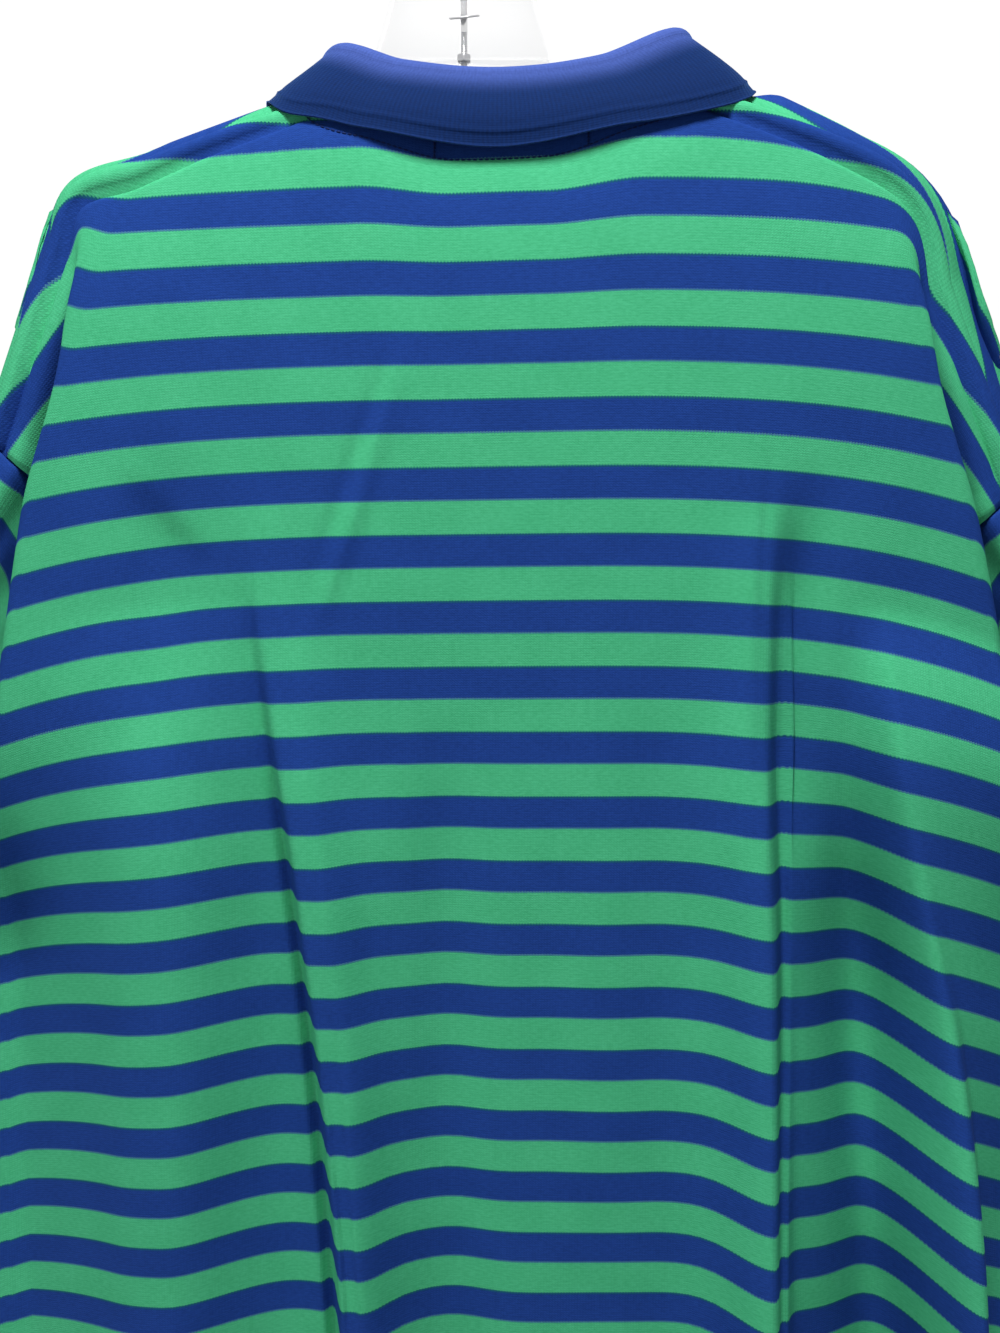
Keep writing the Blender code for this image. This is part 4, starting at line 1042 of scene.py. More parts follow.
def placket_layer(name, out):
    """A band on the front panel, outside it (1) or inside it (-1)."""
    u = np.linspace(-PLACKET_HALF, PLACKET_HALF, 33)
    top = seam_depth(u, NECK_DROP_FRONT) + SEAM_GAP / 2
    v = top + (PLACKET_END - top) * np.linspace(0.0, 1.0, 110)[:, None]
    u = np.broadcast_to(u, v.shape)
    normal = surface_normals(front_surface, u, v, 1)
    side = PLACKET_HALF - np.abs(u)
    rolled = smooth(0.14, 0.0, side) + smooth(0.14, 0.0, PLACKET_END - v)
    lift = front_detail(u, v) + out * BAND_FACE - 0.04 * rolled
    lift = lift + 0.02 * np.sin(v * 1.4) * smooth(0.2, 0.9, side)
    grid = front_surface(u, v) + normal * lift[..., None]
    return cloth_wall(name, grid, flat_grid(u, v), normal)


placket_layer("shirt_placket_top", 1.0)
placket_layer("shirt_placket_under", -1.0)
print("placket is", 2 * PLACKET_HALF, "cm wide")

# %% Buttons
BUTTONS_BELOW = (1.6, 6.0, 10.4)     # from the neck seam down
HOLE_PLACE = 0.1         # a button's holes from its middle, both ways


def seat_of(below):
    """Where a button sits on the placket, and the directions round it."""
    v = NECK_DROP_FRONT + below
    way = surface_normals(front_surface, np.array(0.0), np.array(v), 1)
    across = np.cross(way, (0.0, 0.0, 1.0))
    across = across / np.linalg.norm(across)
    seat = front_surface(0.0, v) + way * (2 * CLOTH + 0.11)
    return seat, across, np.cross(across, way), way


def circle(sides, shift=0.0):
    """Even turns round a circle, with their cosines and sines."""
    turn = 2 * pi * (np.arange(sides) + shift) / sides
    return turn, np.cos(turn), np.sin(turn)


def ring_piece(name, rings, closed):
    """A piece from rings of points: closed like a tyre, or with two flat ends."""
    count, sides = rings.shape[:2]
    faces = []
    for r in range(count if closed else count - 1):
        for i in range(sides):
            j, a, b = (i + 1) % sides, r * sides, (r + 1) % count * sides
            faces.append((a + i, a + j, b + j, b + i))
    if not closed:
        faces += [tuple(range(sides)), tuple(range((count - 1) * sides, count * sides))]
    return new_piece(name, rings.reshape(-1, 3), faces)


def four_holes(x, y):
    """How deep the holes for the thread go at a place on the button."""
    depth = 0.0
    for hole_x in (-HOLE_PLACE, HOLE_PLACE):
        for hole_y in (-HOLE_PLACE, HOLE_PLACE):
            depth = depth - 0.13 * smooth(0.075, 0.05, np.hypot(x - hole_x, y - hole_y))
    return depth


def button(name, below):
    """A turned disc with a rim and a dished top, drilled from above."""
    seat, across, upward, way = seat_of(below)
    _, c, s = circle(72)
    profile = [(0.004, 0.0), (0.44, 0.0), (0.52, 0.03), (0.56, 0.09), (0.555, 0.16), (0.53, 0.195)]
    profile += [(r, 0.2 - 0.05 * float(smooth(0.42, 0.3, r))) for r in np.linspace(0.5, 0.004, 34)]
    rings = []
    for radius, rise in profile:
        x, y = radius * c, radius * s
        z = rise + (four_holes(x, y) if rise > 0.1 else 0 * x)
        rings.append(seat + x[:, None] * across + y[:, None] * upward + z[:, None] * way)
    return ring_piece(name, to_world(rings), closed=False)


for number, below in enumerate(BUTTONS_BELOW, start=1):
    button("shirt_button_%d" % number, below)
print(len(BUTTONS_BELOW), "buttons")

# %% [markdown]
# ## The form, the hook and its fastenings
# The form is one smooth moulded shell. The hook's wire ends in a threaded rod
# that two nuts clamp to a plate across the form's neck. All of them are rings
# of points round an axis or along a path, so one helper gives them faces, and
# the thread is only a ripple in the wire's radius.

# %% Form
# Each row is a level of the form: its height from the hook's eye, half width,
# half depth, the middle of its depth and how square it is.
FORM = table("height half_width half_depth middle power", (
    (-6.2, 3.15, 3.15, 0.0, 2.0),
    (-9.0, 3.7, 3.7, 0.0, 2.0),
    (-11.2, 4.4, 4.3, 0.0, 2.0),
    (-12.9, 4.8, 4.2, 0.0, 2.0),
    (-14.3, 5.7, 4.0, 0.0, 2.0),
    (-15.5, 8.6, 3.9, 0.0, 2.1),
    (-16.7, 12.8, 3.9, -0.1, 2.2),
    (-18.3, 16.0, 4.1, -0.3, 2.3),
    (-20.1, 17.2, 4.6, -0.6, 2.4),
    (-23.5, 17.5, 5.3, -0.9, 2.4),
    (-29.5, 17.0, 5.9, -1.4, 2.4),
    (-36.5, 16.2, 6.3, -1.8, 2.3),
    (-45.5, 15.0, 6.1, -1.8, 2.3),
    (-55.5, 14.2, 5.8, -1.8, 2.2),
    (-67.5, 15.2, 5.9, -2.0, 2.2),
    (-77.5, 16.0, 6.0, -2.2, 2.2),
))
FORM_WALL = 0.25
FORM_LIFT = 1.27         # the form's shoulders, raised to carry the cloth
FORM_TILT = 0.8          # and higher on the wearer's right
FORM_LEAN = 1.3          # how far the form hangs to the wearer's right, low down


def form_ring(height):
    """One level of the form: a rounded square, raised at the shoulders."""
    wide, deep, middle, power = [float(column(FORM, name, height)) for name in list(FORM)[1:]]
    _, c, s = circle(144)
    x = wide * np.sign(c) * np.abs(c) ** (2 / power)
    y = middle + deep * np.sign(s) * np.abs(s) ** (2 / power)
    x = x - FORM_LEAN * smooth(-9.0, -40.0, height)
    shoulder = smooth(6.0, 10.5, np.abs(x)) * smooth(-25.0, -18.5, height)
    z = height + shoulder * (FORM_LIFT - FORM_TILT * np.tanh(x / 9.0))
    return np.stack([x, y, z], axis=-1)


def clear_form():
    """The shell with a thicker lip at its neck and at its foot."""
    heights = spread([(-6.2, 0), (-12.9, 24), (-20.1, 40), (-77.5, 70)])
    grid = np.array([form_ring(height) for height in heights])
    lip = 0.12 * smooth(-6.9, -6.5, heights) + 0.1 * smooth(-76.9, -77.2, heights)
    normal = -grid_normals(grid, True)
    outward = np.sign((normal[40, :, 0] * (grid[40, :, 0] + FORM_LEAN)).mean())
    normal = normal * outward
    grid = grid + normal * lip[:, None, None] - (SHIRT_X, SHIRT_Y, NECK_Z)
    flat = np.zeros(grid.shape[:2] + (2,))
    return cloth_wall("clear_form", grid, flat, normal, thick=FORM_WALL, closed=True)


clear_form()
print("form is", round(2 * FORM["half_width"].max(), 1), "cm wide")

# %% Hook
ROD = 0.17               # radius of the hook's wire
HOOK_RADIUS = 2.1        # inside of the hook
PLATE_Z = -11.34         # top of the plate that crosses the form's neck
PLATE = {"half_x": 4.09, "half_y": 1.0, "thick": 0.16}
PLATE_LOW = PLATE_Z - PLATE["thick"]
THREAD_PITCH = 0.08
NUT = {"wide": 0.35, "height": 0.36, "hole": ROD + 0.06}
WASHER = {"above": 2.1, "radius": 0.75, "thick": 0.1, "lean": 15.0, "dip": 6.0}


def wire(name, path, radii, sides=28):
    """A round wire along a path in the plane of the shoulders, with closed ends."""
    path = np.asarray(path, float)
    run = np.gradient(path, axis=0)
    run = run / np.linalg.norm(run, axis=1)[:, None]
    _, c, s = circle(sides)
    side = np.array([0.0, 1.0, 0.0])
    rings = []
    for place, way, radius in zip(path, run, radii):
        rings.append(place + radius * (np.outer(c, side) + np.outer(s, np.cross(way, side))))
    return ring_piece(name, np.array(rings) * CM, closed=False)


def hook_wire():
    """The hook's arc, a neck that brings it over the middle, and the shank."""
    middle, centre = HOOK_RADIUS + ROD, -HOOK_RADIUS
    angles = np.linspace(radians(-35), radians(205), 90)
    arc = [(middle * cos(a), 0.0, centre + middle * sin(a)) for a in angles]
    end_x, _, end_z = arc[-1]
    neck = []
    for t in np.linspace(0.03, 1.0, 40):
        x = end_x * (1 - float(smooth(0, 1, t))) - 0.35 * sin(pi * t) * (1 - t)
        neck.append((x, 0.0, end_z - 2.4 * t))
    shank = [(0.0, 0.0, h) for h in np.linspace(neck[-1][2] - 0.05, PLATE_LOW - 0.9, 520)]
    path = np.array(arc + neck + shank)
    height = path[:, 2]
    thread = smooth(PLATE_Z + 1.5, PLATE_Z + 1.3, height)
    radii = ROD - 0.012 * thread * (1 + np.sin(height * 2 * pi / THREAD_PITCH))
    start = np.linspace(0.0, 1.0, 6)
    radii[:6] = ROD * np.sqrt(np.clip(1 - (1 - start) ** 2, 0.02, 1))
    return wire("hanging_hook", path, radii)


hook_wire()
print("hook has", len(made["hanging_hook"].data.polygons), "faces")


# %% Plate, washer and nuts
def turned_ring(name, profile, sides, shift, limit=None):
    """A ring round the shank. Limit gives its greatest reach at each turn."""
    turn, c, s = circle(sides, shift)
    rings = []
    for radius, height in profile:
        reach = limit(turn, c, s, radius) if limit else np.full(sides, radius)
        rings.append(np.stack([reach * c, reach * s, np.full(sides, height)], axis=1))
    return ring_piece(name, np.array(rings) * CM, closed=True)


def plate_profile(bore, wide, low, high):
    """Section of a flat ring with its outer corners taken off."""
    return ((bore, high), (wide - 0.03, high), (wide, high - 0.03), (wide, low + 0.03),
            (wide - 0.03, low), (bore, low))


def plate_limit(turn, c, s, radius):
    """The plate is a rectangle outside and round at its bore."""
    if radius < 1.0:
        return np.full(len(turn), radius)
    inset = PLATE["half_x"] - radius
    wide = (PLATE["half_x"] - inset) / np.maximum(np.abs(c), 1e-6)
    deep = (PLATE["half_y"] - inset) / np.maximum(np.abs(s), 1e-6)
    return np.minimum(np.minimum(wide, deep), radius)


def nut_limit(turn, c, s, radius):
    """Six flats outside, round at the hole."""
    if radius < NUT["hole"] + 0.03:
        return np.full(len(turn), radius)
    return np.minimum(0.87 * NUT["wide"] / np.cos((turn + pi / 6) % (pi / 3) - pi / 6), radius)


def nut(name, low):
    """A six-sided nut with its corners turned off above and below."""
    hole, wide = NUT["hole"], NUT["wide"]
    lower = ((hole, 0.02), (hole + 0.02, 0.0), (0.84 * wide, 0.0), (0.94 * wide, 0.03), (wide, 0.07))
    upper = [(radius, NUT["height"] - height) for radius, height in lower[::-1]]
    rows = [(radius, low + height) for radius, height in (*lower, *upper)]
    return turned_ring(name, rows, 48, 0.0, nut_limit)


def hang_washer(bore):
    """The washer hangs loose: it leans back and dips to the wearer's left."""
    z, wide, half = PLATE_Z + WASHER["above"], WASHER["radius"], WASHER["thick"] / 2
    piece = turned_ring("hanging_washer", plate_profile(bore, wide, z - half, z + half)[::-1], 96, 0.5)
    lean = Matrix.Rotation(radians(-WASHER["lean"]), 4, "X")
    dip = Matrix.Rotation(radians(WASHER["dip"]), 4, "Y")
    lift = Matrix.Translation((0.0, 0.0, z * CM))
    piece.data.transform(lift @ dip @ lean @ lift.inverted())


bore = ROD + 0.03
plate = plate_profile(bore, PLATE["half_x"], PLATE_LOW, PLATE_Z)
turned_ring("hanging_plate", plate, 192, 0.5, plate_limit)
hang_washer(bore + 0.04)
nut("hanging_nut_upper", PLATE_Z + 0.03)
nut("hanging_nut_lower", PLATE_LOW - 0.03 - NUT["height"])
print("plate, washer and two nuts")

# %% [markdown]
# ## Stitches
# The real seams are sewn with thousands of short stitches, too many to place
# one by one. A node group lays short threads end to end along any line of
# points. Its inputs are their spacing, length, thickness and material.

# %% The stitch node group
def stitch_group():
    """Line to curve, even points on it, and a thread turned along it at each."""
    group = bpy.data.node_groups.new("stitches", "GeometryNodeTree")
    for name, way, kind in (
        ("Line", "INPUT", "Geometry"), ("Spacing", "INPUT", "Float"), ("Length", "INPUT", "Float"),
        ("Thickness", "INPUT", "Float"), ("Thread", "INPUT", "Material"),
        ("Stitches", "OUTPUT", "Geometry"),
    ):
        group.interface.new_socket(name, in_out=way, socket_type="NodeSocket" + kind)
    nodes, links = group.nodes, group.links
    given, out = nodes.new("NodeGroupInput"), nodes.new("NodeGroupOutput")
    to_curve = nodes.new("GeometryNodeMeshToCurve")
    resample = nodes.new("GeometryNodeResampleCurve")
    resample.mode = "LENGTH"
    thread = nodes.new("GeometryNodeMeshUVSphere")
    thread.inputs["Segments"].default_value = 6
    thread.inputs["Rings"].default_value = 5
    thread.inputs["Radius"].default_value = 0.5
    tangent = nodes.new("GeometryNodeInputTangent")
    turn = nodes.new("FunctionNodeAlignRotationToVector")
    turn.axis = "Z"
    size = nodes.new("ShaderNodeCombineXYZ")
    place = nodes.new("GeometryNodeInstanceOnPoints")
    realize = nodes.new("GeometryNodeRealizeInstances")
    paint = nodes.new("GeometryNodeSetMaterial")
    for source, output, target, socket in (
        (given, "Line", to_curve, "Mesh"),
        (to_curve, "Curve", resample, "Curve"),
        (given, "Spacing", resample, "Length"),
        (resample, "Curve", place, "Points"),
        (thread, "Mesh", place, "Instance"),
        (tangent, "Tangent", turn, "Vector"),
        (turn, "Rotation", place, "Rotation"),
        (given, "Thickness", size, "X"),
        (given, "Thickness", size, "Y"),
        (given, "Length", size, "Z"),
        (size, "Vector", place, "Scale"),
        (place, "Instances", realize, "Geometry"),
        (realize, "Geometry", paint, "Geometry"),
        (given, "Thread", paint, "Material"),
        (paint, "Geometry", out, "Stitches"),
    ):
        links.new(source.outputs[output], target.inputs[socket])
    return group


STITCHES = stitch_group()
print("stitch group has", len(STITCHES.nodes), "nodes")


# %% Sewing along lines
def stitch(name, lines, thread, spacing=0.3, length=0.24, thickness=0.045):
    """Stitches along one or more lines of points in shirt centimetres."""
    points, edges, first = [], [], 0
    for line in lines:
        points.append(to_world(line))
        edges += [(first + i, first + i + 1) for i in range(len(line) - 1)]
        first += len(line)
    mesh = bpy.data.meshes.new(name)
    mesh.from_pydata([tuple(p) for p in np.concatenate(points)], edges, [])
    line = place_in_scene(name + "_line", mesh)
    layer = line.modifiers.new("stitches", "NODES")
    layer.node_group = STITCHES
    sizes = {"Spacing": spacing * CM, "Length": length * CM, "Thickness": thickness * CM}
    values = {**sizes, "Thread": thread}
    for item in STITCHES.interface.items_tree:
        if item.name in values:
            layer[item.identifier] = values[item.name]
    seen = line.evaluated_get(bpy.context.evaluated_depsgraph_get())
    sewn = bpy.data.meshes.new_from_object(seen)
    sewn.shade_smooth()
    made[name] = place_in_scene(name, sewn)
    bpy.data.objects.remove(line, do_unlink=True)


# %% [markdown]
# ## Materials
# The knit, rib, thread, plastic and steel are all made from sums of waves and
# noise, laid out by the flat cut or by the place on the object. Pictures could
# do it too, but sums stay sharp and follow the cut. A small class lets the
# maths be written as ordinary sums, and another makes and feeds a material.

# %% Sums for materials
class Wire:
    """A value in a material's nodes that adds, multiplies and compares."""

    def __init__(self, tree, socket):
        self.tree = tree
        self.socket = socket

    def node(self, kind, inputs, output=0, **settings):
        """Any other node, fed from this material."""
        new = self.tree.nodes.new(kind)
        for name, value in settings.items():
            setattr(new, name, value)
        for key, value in inputs.items():
            if isinstance(value, Wire):
                self.tree.links.new(value.socket, new.inputs[key])
            else:
                new.inputs[key].default_value = value
        return Wire(self.tree, new.outputs[output])

    def math(self, operation, *values):
        return self.node("ShaderNodeMath", dict(enumerate(values)), operation=operation)

    def __add__(self, other):
        return self.math("ADD", self, other)

    def __sub__(self, other):
        return self.math("SUBTRACT", self, other)

    def __mul__(self, other):
        return self.math("MULTIPLY", self, other)

    def __mod__(self, other):
        return self.math("FLOORED_MODULO", self, other)

    __radd__ = __add__
    __rmul__ = __mul__

    def wave(self, pitch):
        """A ripple from -1 to 1 with the given pitch."""
        return self.math("SINE", self * (2 * pi / pitch))

    def band(self, start, end):
        """Eases from 0 to 1 between two values."""
        ends = {"From Min": start, "From Max": end, "To Min": 0.0, "To Max": 1.0}
        return self.node("ShaderNodeMapRange", {"Value": self, **ends}, interpolation_type="SMOOTHSTEP")

    def mix(self, first, second):
        """Between two colours by this amount."""
        return self.node("ShaderNodeMix", {0: self, 6: first, 7: second}, 2, data_type="RGBA")

    def part(self, axis):
        """One of the three numbers of a place."""
        return self.node("ShaderNodeSeparateXYZ", {0: self}, axis)

    def noise(self, scale, stretch=(1.0, 1.0, 1.0), detail=2.0):
        """Soft noise over a place, drawn out along each axis."""
        moved = self.node("ShaderNodeMapping", {"Vector": self, "Scale": stretch})
        return self.node("ShaderNodeTexNoise", {"Vector": moved, "Scale": scale, "Detail": detail})

    def raised(self, depth_cm):
        """A bump where this is the height, as deep as stated in centimetres."""
        return self.node("ShaderNodeBump", {"Distance": depth_cm * CM, "Strength": 1.0, "Height": self})


# %% A material and its sockets
class Finish:
    """A new material, whose sockets take numbers, colours and wires."""

    def __init__(self, name, roughness, metallic=0.0):
        self.material = bpy.data.materials.new(name)
        self.material.use_nodes = True
        self.tree = self.material.node_tree
        self.give({"Roughness": roughness, "Metallic": metallic})

    def source(self, kind, output, **settings):
        """The place a pattern is laid by, or another value of the surface."""
        node = self.tree.nodes.new(kind)
        for name, value in settings.items():
            setattr(node, name, value)
        return Wire(self.tree, node.outputs[output])

    def cut(self):
        """The place in the cloth's own flat cut, with its u and its v."""
        pair = self.source("ShaderNodeUVMap", "UV", uv_map="cut")
        return pair, pair.part(0), pair.part(1)

    def place(self):
        """The place on the whole object, for hard things."""
        return self.source("ShaderNodeTexCoord", "Object")

    def give(self, values):
        """Sets or links the surface's sockets, and hands the material back."""
        for socket, value in values.items():
            target = self.tree.nodes["Principled BSDF"].inputs[socket]
            if isinstance(value, Wire):
                self.tree.links.new(value.socket, target)
            else:
                target.default_value = value
        return self.material


# %% Striped knit
GREEN = (0.088, 0.540, 0.270, 1.0)
DEEP_GREEN = (0.052, 0.420, 0.190, 1.0)
BLUE = (0.0170, 0.062, 0.310, 1.0)
DEEP_BLUE = (0.0110, 0.042, 0.215, 1.0)
PALE_EDGE = (0.150, 0.450, 0.370, 1.0)
DARK_EDGE = (0.010, 0.110, 0.130, 1.0)
STRIPE = 1.5             # one band; a green and a blue one make the repeat
WALE, COURSE = 0.155, 0.11    # pitch of the knit's loops across and down
KNIT_SHINE = 0.06


def striped_knit():
    """Bands by the depth in the cut, with a thin pale and dark line between."""
    finish = Finish("striped_knit", 0.86)
    pair, u, v = finish.cut()
    grain = pair.noise(7.0, (0.42, 1.5, 1.0), 4.0)
    fleck = pair.noise(26.0, (0.5, 1.0, 1.0))
    cloudy = pair.noise(0.35, (1.0, 1.4, 1.0))
    loops = u.wave(WALE)
    place = v + loops * 0.022 + (fleck - 0.5) * 0.05
    phase = place % (2 * STRIPE)
    green = phase.band(0.0, 0.05) * phase.band(STRIPE + 0.04, STRIPE)
    tone = grain.band(0.3, 0.7) * 0.5 + fleck.band(0.3, 0.7) * 0.3 + cloudy.band(0.3, 0.7) * 0.2
    colour = green.mix(tone.mix(DEEP_BLUE, BLUE), tone.mix(DEEP_GREEN, GREEN))
    pale = phase.band(2 * STRIPE - 0.06, 2 * STRIPE - 0.01)
    dark = phase.band(STRIPE - 0.02, STRIPE + 0.03) * phase.band(STRIPE + 0.13, STRIPE + 0.06) * 0.8
    colour = (pale * 0.5).mix(colour, PALE_EDGE)
    colour = dark.mix(colour, DARK_EDGE)
    courses = (v + loops * 0.02).wave(COURSE)
    height = loops * 0.18 + courses * 0.3 + grain * 0.7 + fleck * 0.5
    return finish.give({
        "Base Color": colour, "Roughness": 0.84 + grain * 0.12,
        "Specular IOR Level": KNIT_SHINE, "Normal": height.raised(0.010),
    })


FINISHES = {"striped_knit": striped_knit()}


# %% Collar rib, plain knit and thread
RIB_LIGHT = (0.0045, 0.026, 0.128, 1.0)
RIB_DARK = (0.0028, 0.015, 0.076, 1.0)
# Colour of the painted highlight along the collar's fold.
RIB_FOLD_PAINTED_LIGHT = (0.0950, 0.155, 0.540, 1.0)
RIB_SHEEN = (0.16, 0.42, 1.0, 1.0)
RIB = 0.17               # pitch of the ribs


def rib_knit():
    """Fine ribs down the collar, with a painted highlight along its fold (v = 0)."""
    finish = Finish("rib_knit", 0.82)
    pair, u, v = finish.cut()
    grain = pair.noise(10.0, (1.0, 0.5, 1.0), 3.0)
    ribs = (u + (grain - 0.5) * 0.04).wave(RIB)
    tone = ribs * 0.09 + grain * 0.75 + 0.07
    # Painted highlight: the fold faces the light, so it is painted paler.
    fold = v.band(-1.6, -0.2) * v.band(1.7, 0.1) * (0.42 + grain * 0.36)
    height = ribs * 0.4 + v.wave(0.1) * 0.2 + grain * 0.8
    return finish.give({
        "Base Color": fold.mix(tone.band(0.0, 0.9).mix(RIB_DARK, RIB_LIGHT), RIB_FOLD_PAINTED_LIGHT),
        "Roughness": 0.8 + grain * 0.12, "Specular IOR Level": 0.1,
        "Sheen Weight": 0.3, "Sheen Roughness": 0.4, "Sheen Tint": RIB_SHEEN,
        "Normal": height.raised(0.012),
    })


def plain_knit():
    """Plain blue knit, for the placket bands and the turnings."""
    finish = Finish("plain_knit", 0.85)
    pair, u, v = finish.cut()
    grain = pair.noise(9.0, (1.0, 0.5, 1.0), 3.0)
    loops = u.wave(WALE)
    height = loops * 0.2 + (v + loops * 0.02).wave(COURSE) * 0.25 + grain
    return finish.give({
        "Base Color": grain.band(0.25, 0.75).mix(DEEP_BLUE, BLUE),
        "Roughness": 0.8 + grain * 0.14, "Specular IOR Level": KNIT_SHINE,
        "Normal": height.raised(0.012),
    })


def thread_material():
    finish = Finish("thread", 0.6)
    twist = finish.place().noise(900.0, detail=1.0)
    colour = twist.mix((0.003, 0.010, 0.055, 1.0), (0.008, 0.024, 0.12, 1.0))
    return finish.give({"Base Color": colour, "Specular IOR Level": 0.1, "Normal": twist.raised(0.01)})


FINISHES["rib_knit"] = rib_knit()
FINISHES["plain_knit"] = plain_knit()
thread = thread_material()


# %% Buttons, clear plastic and plated steel
# Below this height the steel gets a painted tone for how it looks through the clear form: painted light.
PAINTED_LIGHT_BELOW = -0.0925   # height on the hook's shank, in metres


def button_plastic():
    """Glossy blue plastic with a faint swirl."""
    finish = Finish("button_plastic", 0.22)
    swirl = finish.place().noise(260.0, (1.0, 1.0, 2.5), 4.0)
    colour = swirl.band(0.35, 0.7).mix((0.010, 0.026, 0.13, 1.0), (0.03, 0.07, 0.26, 1.0))
    return finish.give({"Base Color": colour, "Roughness": 0.16 + swirl * 0.16, "Coat Weight": 0.4})


def clear_plastic():
    """Thin clear plastic, a little uneven from its moulding."""
    finish = Finish("clear_plastic", 0.08)
    drawn = finish.place().noise(9.0, (1.0, 1.0, 0.3))
    colour = drawn.mix((0.86, 0.88, 0.89, 1.0), (0.94, 0.95, 0.96, 1.0))
    return finish.give({"Base Color": colour, "Alpha": 0.05, "IOR": 1.45, "Normal": drawn.raised(0.15)})


def plated_steel(name, dark, bright, roughness):
    """Brushed plating, painted another tone below a set height, for the part seen through the clear form.
    """
    finish = Finish(name, roughness, 1.0)
    place = finish.place()
    brushed = place.noise(420.0, (1.0, 1.0, 0.12), 3.0)
    # Painted light: below the set height the steel takes its second, painted colour.
    upper = place.part(2).band(PAINTED_LIGHT_BELOW - 0.001, PAINTED_LIGHT_BELOW + 0.001)
    return finish.give({
        "Base Color": upper.mix(bright, dark), "Roughness": roughness + (brushed - 0.5) * 0.16,
        "Normal": brushed.raised(0.004),
    })


FINISHES["button_plastic"] = button_plastic()
FINISHES["clear_plastic"] = clear_plastic()
# Each steel: its colour above the set height, and the painted one below it.
for name, dark, bright, roughness in (
    ("hook_steel", (0.36, 0.36, 0.37, 1.0), (0.66, 0.66, 0.66, 1.0), 0.24),
    ("plate_steel", (0.45, 0.45, 0.46, 1.0), (0.42, 0.42, 0.43, 1.0), 0.34),
):
    FINISHES[name] = plated_steel(name, dark, bright, roughness)
print(len(FINISHES), "finishes and the thread")

# %% [markdown]
# ## Sewing
# The hem, cuffs, placket and neck are stitched through, the buttonholes are
# edged and the buttons tied on. Each line of stitches is a line of the cut,
# lifted just off the cloth, so it keeps to every fold.

# %% Hem
def on_panel(panel_parts, u, v, lift=0.0):
    """Points on a panel's outer face, lifted off it."""
    surface, detail, _, way = panel_parts
    u, v = np.broadcast_arrays(np.asarray(u, float), np.asarray(v, float))
    normal = surface_normals(surface, u, v, way)
    return surface(u, v) + normal * (detail(u, v) + 0.012 + lift)[..., None]


across = np.linspace(-CHEST_HALF + 0.4, CHEST_HALF - 0.4, 700)
hems = [on_panel(side, across, LENGTH - rise) for rise in (2.0, 2.35) for side in (BACK, FRONT)]
stitch("hem_stitches", hems, thread)
print("hem has", len(hems), "lines of stitches")

# %% Neck
neck = np.linspace(-NECK_HALF + 0.1, NECK_HALF - 0.1, 260)
line = on_panel(BACK, neck, seam_depth(neck, NECK_DROP_BACK) + 1.06)
stitch("neck_stitches", [line], thread, 0.26, 0.23, 0.08)

bars = []
for u in (2.9, -3.9):
    v = np.linspace(1.95, 2.78, 40) - 0.008 * abs(u) ** 1.4
    bars.append(on_panel(BACK, np.full(40, u), v))
stitch("neck_bar_stitches", bars, thread, 0.17, 0.17, 0.11)
print("neck has one line and", len(bars), "bars")

# %% Placket and buttons
STITCH_HALF = PLACKET_HALF - 0.18

down = np.linspace(NECK_DROP_FRONT + 0.3, PLACKET_END - 0.25, 160)
edges = [on_panel(FRONT, side * STITCH_HALF, down, BAND_FACE) for side in (-1, 1)]
box = np.linspace(-STITCH_HALF, STITCH_HALF, 40)
edges += [on_panel(FRONT, box, PLACKET_END - rise, BAND_FACE) for rise in (0.25, 1.6)]
stitch("placket_stitches", edges, thread, 0.26, 0.21)

holes, ties = [], []
turn, t = np.linspace(0.0, 2 * pi, 60), np.linspace(-1.0, 1.0, 14)
for below in BUTTONS_BELOW:
    down = NECK_DROP_FRONT + below + 0.8 * np.sin(turn)
    holes.append(on_panel(FRONT, 0.07 * np.cos(turn), down, CLOTH + 0.06))
    seat, side, upward, way = seat_of(below)
    rise = 0.165 - 0.09 * np.abs(t) ** 4
    for y in (-HOLE_PLACE, HOLE_PLACE):
        ties.append(seat + (HOLE_PLACE * t)[:, None] * side + y * upward + rise[:, None] * way)
stitch("buttonhole_stitches", holes, thread, 0.055, 0.06, 0.1)
stitch("button_thread", ties, thread, 0.02, 0.045, 0.05)
print(len(holes), "buttonholes,", len(ties), "ties")


# %% Cuffs
def cuff_lines(side):
    """Two rings of the sleeve just above its cuff, lifted off the cloth."""
    down = SHOULDER_DROP + ARMHOLE_DEPTH * np.linspace(0.0, 1.0, 90)
    grid = sleeve_surface(side, down, (0.895, 0.9025, 0.91, 0.9175))
    grid = grid + grid_normals(grid, True) * side * 0.03
    return [np.concatenate([row, row[:1]]) for row in grid[[0, 3]]]


stitch("cuff_stitches", cuff_lines(+1) + cuff_lines(-1), thread)
print("stitches on", len([n for n in made if n.endswith("stitches")]), "seams")

# %% [markdown]
# ## Giving each piece its finish and its place on the frame
# Every piece but the stitches and the turnings stands for one solid of the
# imported model, and all of them ride on its one body.

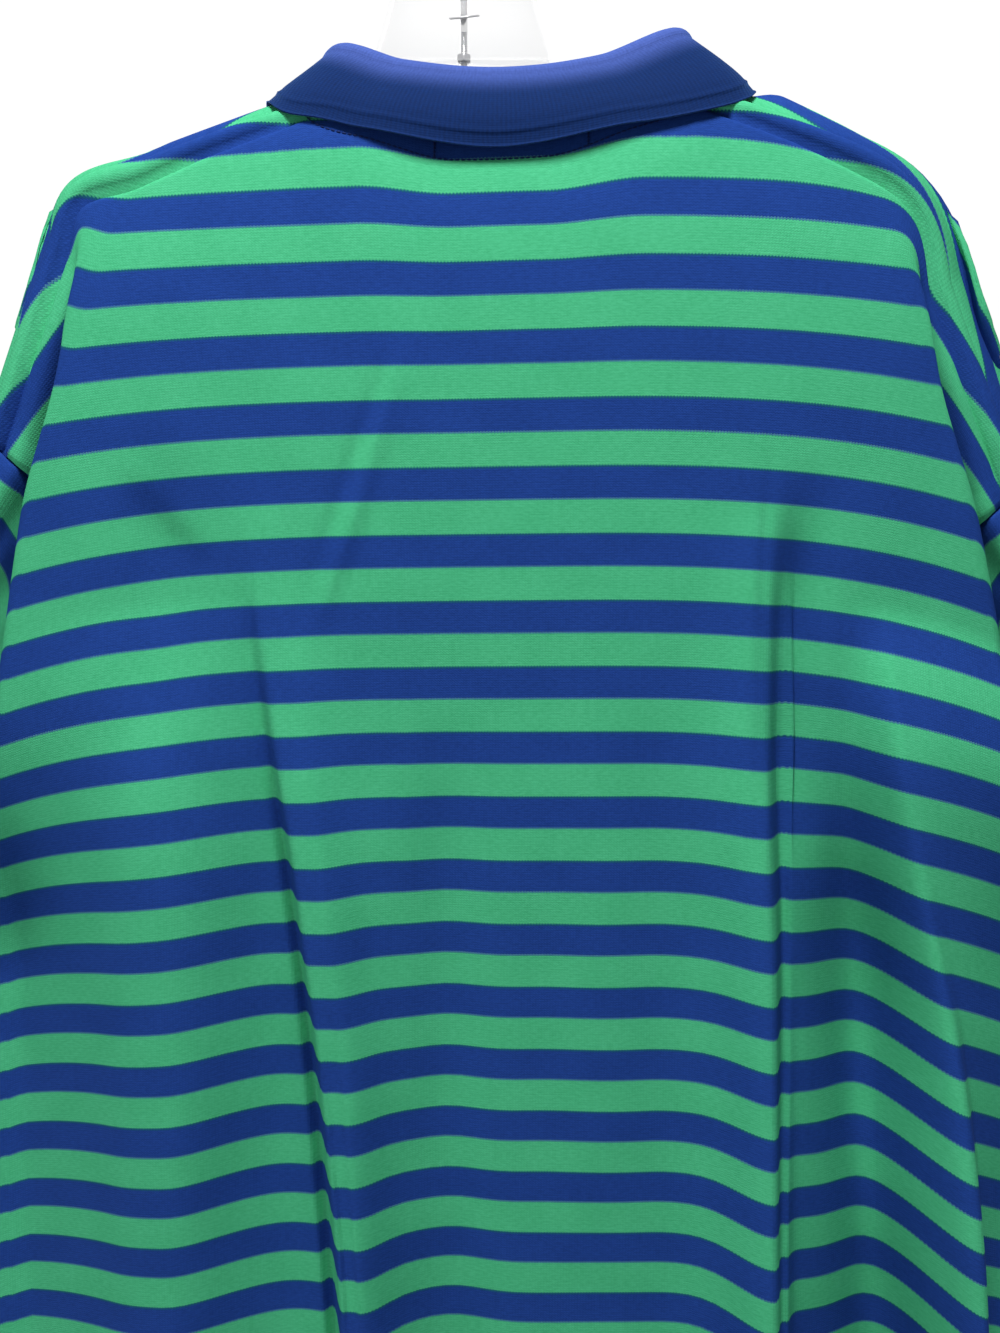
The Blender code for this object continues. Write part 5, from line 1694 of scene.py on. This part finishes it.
# %% Finishes, and the plain solids each piece stands for
SHIRT_PARTS = {
    "striped_knit": ("back", "front", "sleeve_left", "sleeve_right"),
    "rib_knit": ("collar",),
    "plain_knit": ("placket_top", "placket_under"),
    "button_plastic": ("button_1", "button_2", "button_3"),
}
HANGER_PARTS = {         # piece, its slot and the solid it stands for
    "clear_form": ("clear_plastic", "torso_form"),
    "hanging_hook": ("hook_steel", "hook"),
    "hanging_plate": ("clear_plastic", "hook_plate"),
    "hanging_washer": ("plate_steel", "hook_washer"),
    "hanging_nut_upper": ("plate_steel", "nut_upper"),
    "hanging_nut_lower": ("plate_steel", "nut_lower"),
}
pieces = {"shirt_" + node: (slot, node) for slot, nodes in SHIRT_PARTS.items() for node in nodes}
pieces.update(HANGER_PARTS)
for name, (slot, node) in pieces.items():
    piece = made[name]
    piece.data.materials.clear()
    piece.data.materials.append(FINISHES[slot])
    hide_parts(node)
for name, piece in made.items():
    if name not in pieces:
        if not piece.data.materials:
            piece.data.materials.append(FINISHES["plain_knit"])
    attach(piece, "root")

# %% The sleeve and placket pieces, looked up in turn
for side in ("left", "right"):
    piece = made["shirt_sleeve_" + side]
for layer in ("top", "under"):
    piece = made["shirt_placket_" + layer]
print("pieces:", len(made))

# %% [markdown]
# ## Floor, light and camera
# A plain pale floor, a white surround and three soft lights. The key hangs just
# above the shoulders, so its light is strongest there and fades down the shirt.

# %% Floor and surround
def grey(level):
    return (level, level, level, 1.0)


def stage():
    """A wide sheet of pale paper, kept bright where the camera sees it."""
    mesh = bpy.data.meshes.new("floor")
    mesh.from_pydata([(-6, -6, 0), (6, -6, 0), (6, 6, 0), (-6, 6, 0)], [], [(0, 1, 2, 3)])
    floor = place_in_scene("floor", mesh)
    floor.location = (0, 0, -1.3)
    finish = Finish("floor_paper", 0.9)
    seen = finish.source("ShaderNodeLightPath", "Is Camera Ray")
    mesh.materials.append(finish.give({
        "Base Color": seen.mix(grey(0.7), grey(0.9)), "Emission Strength": 1.0,
        "Emission Color": seen.mix(grey(0.0), grey(0.36)),
    }))


def surround():
    """A world that looks white and lights the cloth only a little."""
    world = bpy.data.worlds.new("surround")
    bpy.context.scene.world = world
    world.use_nodes = True
    tree = world.node_tree
    paths = tree.nodes.new("ShaderNodeLightPath").outputs
    seen, glossy, through = [
        Wire(tree, paths["Is %s Ray" % kind]) for kind in ("Camera", "Glossy", "Transmission")
    ]
    bright = seen.math("MAXIMUM", seen.math("MAXIMUM", seen, glossy), through)
    strength = 0.15 + bright * 0.87
    shade = tree.nodes["Background"]
    shade.inputs["Color"].default_value = (1.0, 1.0, 1.0, 1.0)
    tree.links.new(strength.socket, shade.inputs["Strength"])


stage()
surround()

# %% Light
LAMPS = (                # name, place, height aimed at, size in metres, watts
    ("key", (0.02, 0.72, 1.05), -0.3, 0.4, 33.0),
    ("fill", (1.4, 1.0, -0.75), -0.5, 0.8, 4.5),
    ("front", (0.4, -1.9, 0.1), -0.5, 1.2, 22.0),
)


def soft_light(name, place, aim, size, power):
    """A square lamp, turned to a height on the middle line."""
    data = bpy.data.lights.new(name, "AREA")
    data.shape = "SQUARE"
    data.size = size
    data.energy = power
    lamp = place_in_scene(name, data)
    lamp.location = place
    lamp.rotation_euler = (Vector((0.0, 0.0, aim)) - Vector(place)).to_track_quat("-Z", "Y").to_euler()


for lamp in LAMPS:
    soft_light(*lamp)
print(len(LAMPS), "lamps")

# %% Camera
lens = bpy.data.cameras.new("camera")
lens.sensor_fit = "AUTO"
lens.sensor_width = 36.0
lens.lens = 44.56
camera = place_in_scene("camera", lens)
camera.location = (-0.017, 0.804, -0.315)
camera.rotation_euler = (radians(84.0), 0.0, radians(180.0))
bpy.context.scene.camera = camera
bpy.context.scene.view_settings.view_transform = "Standard"
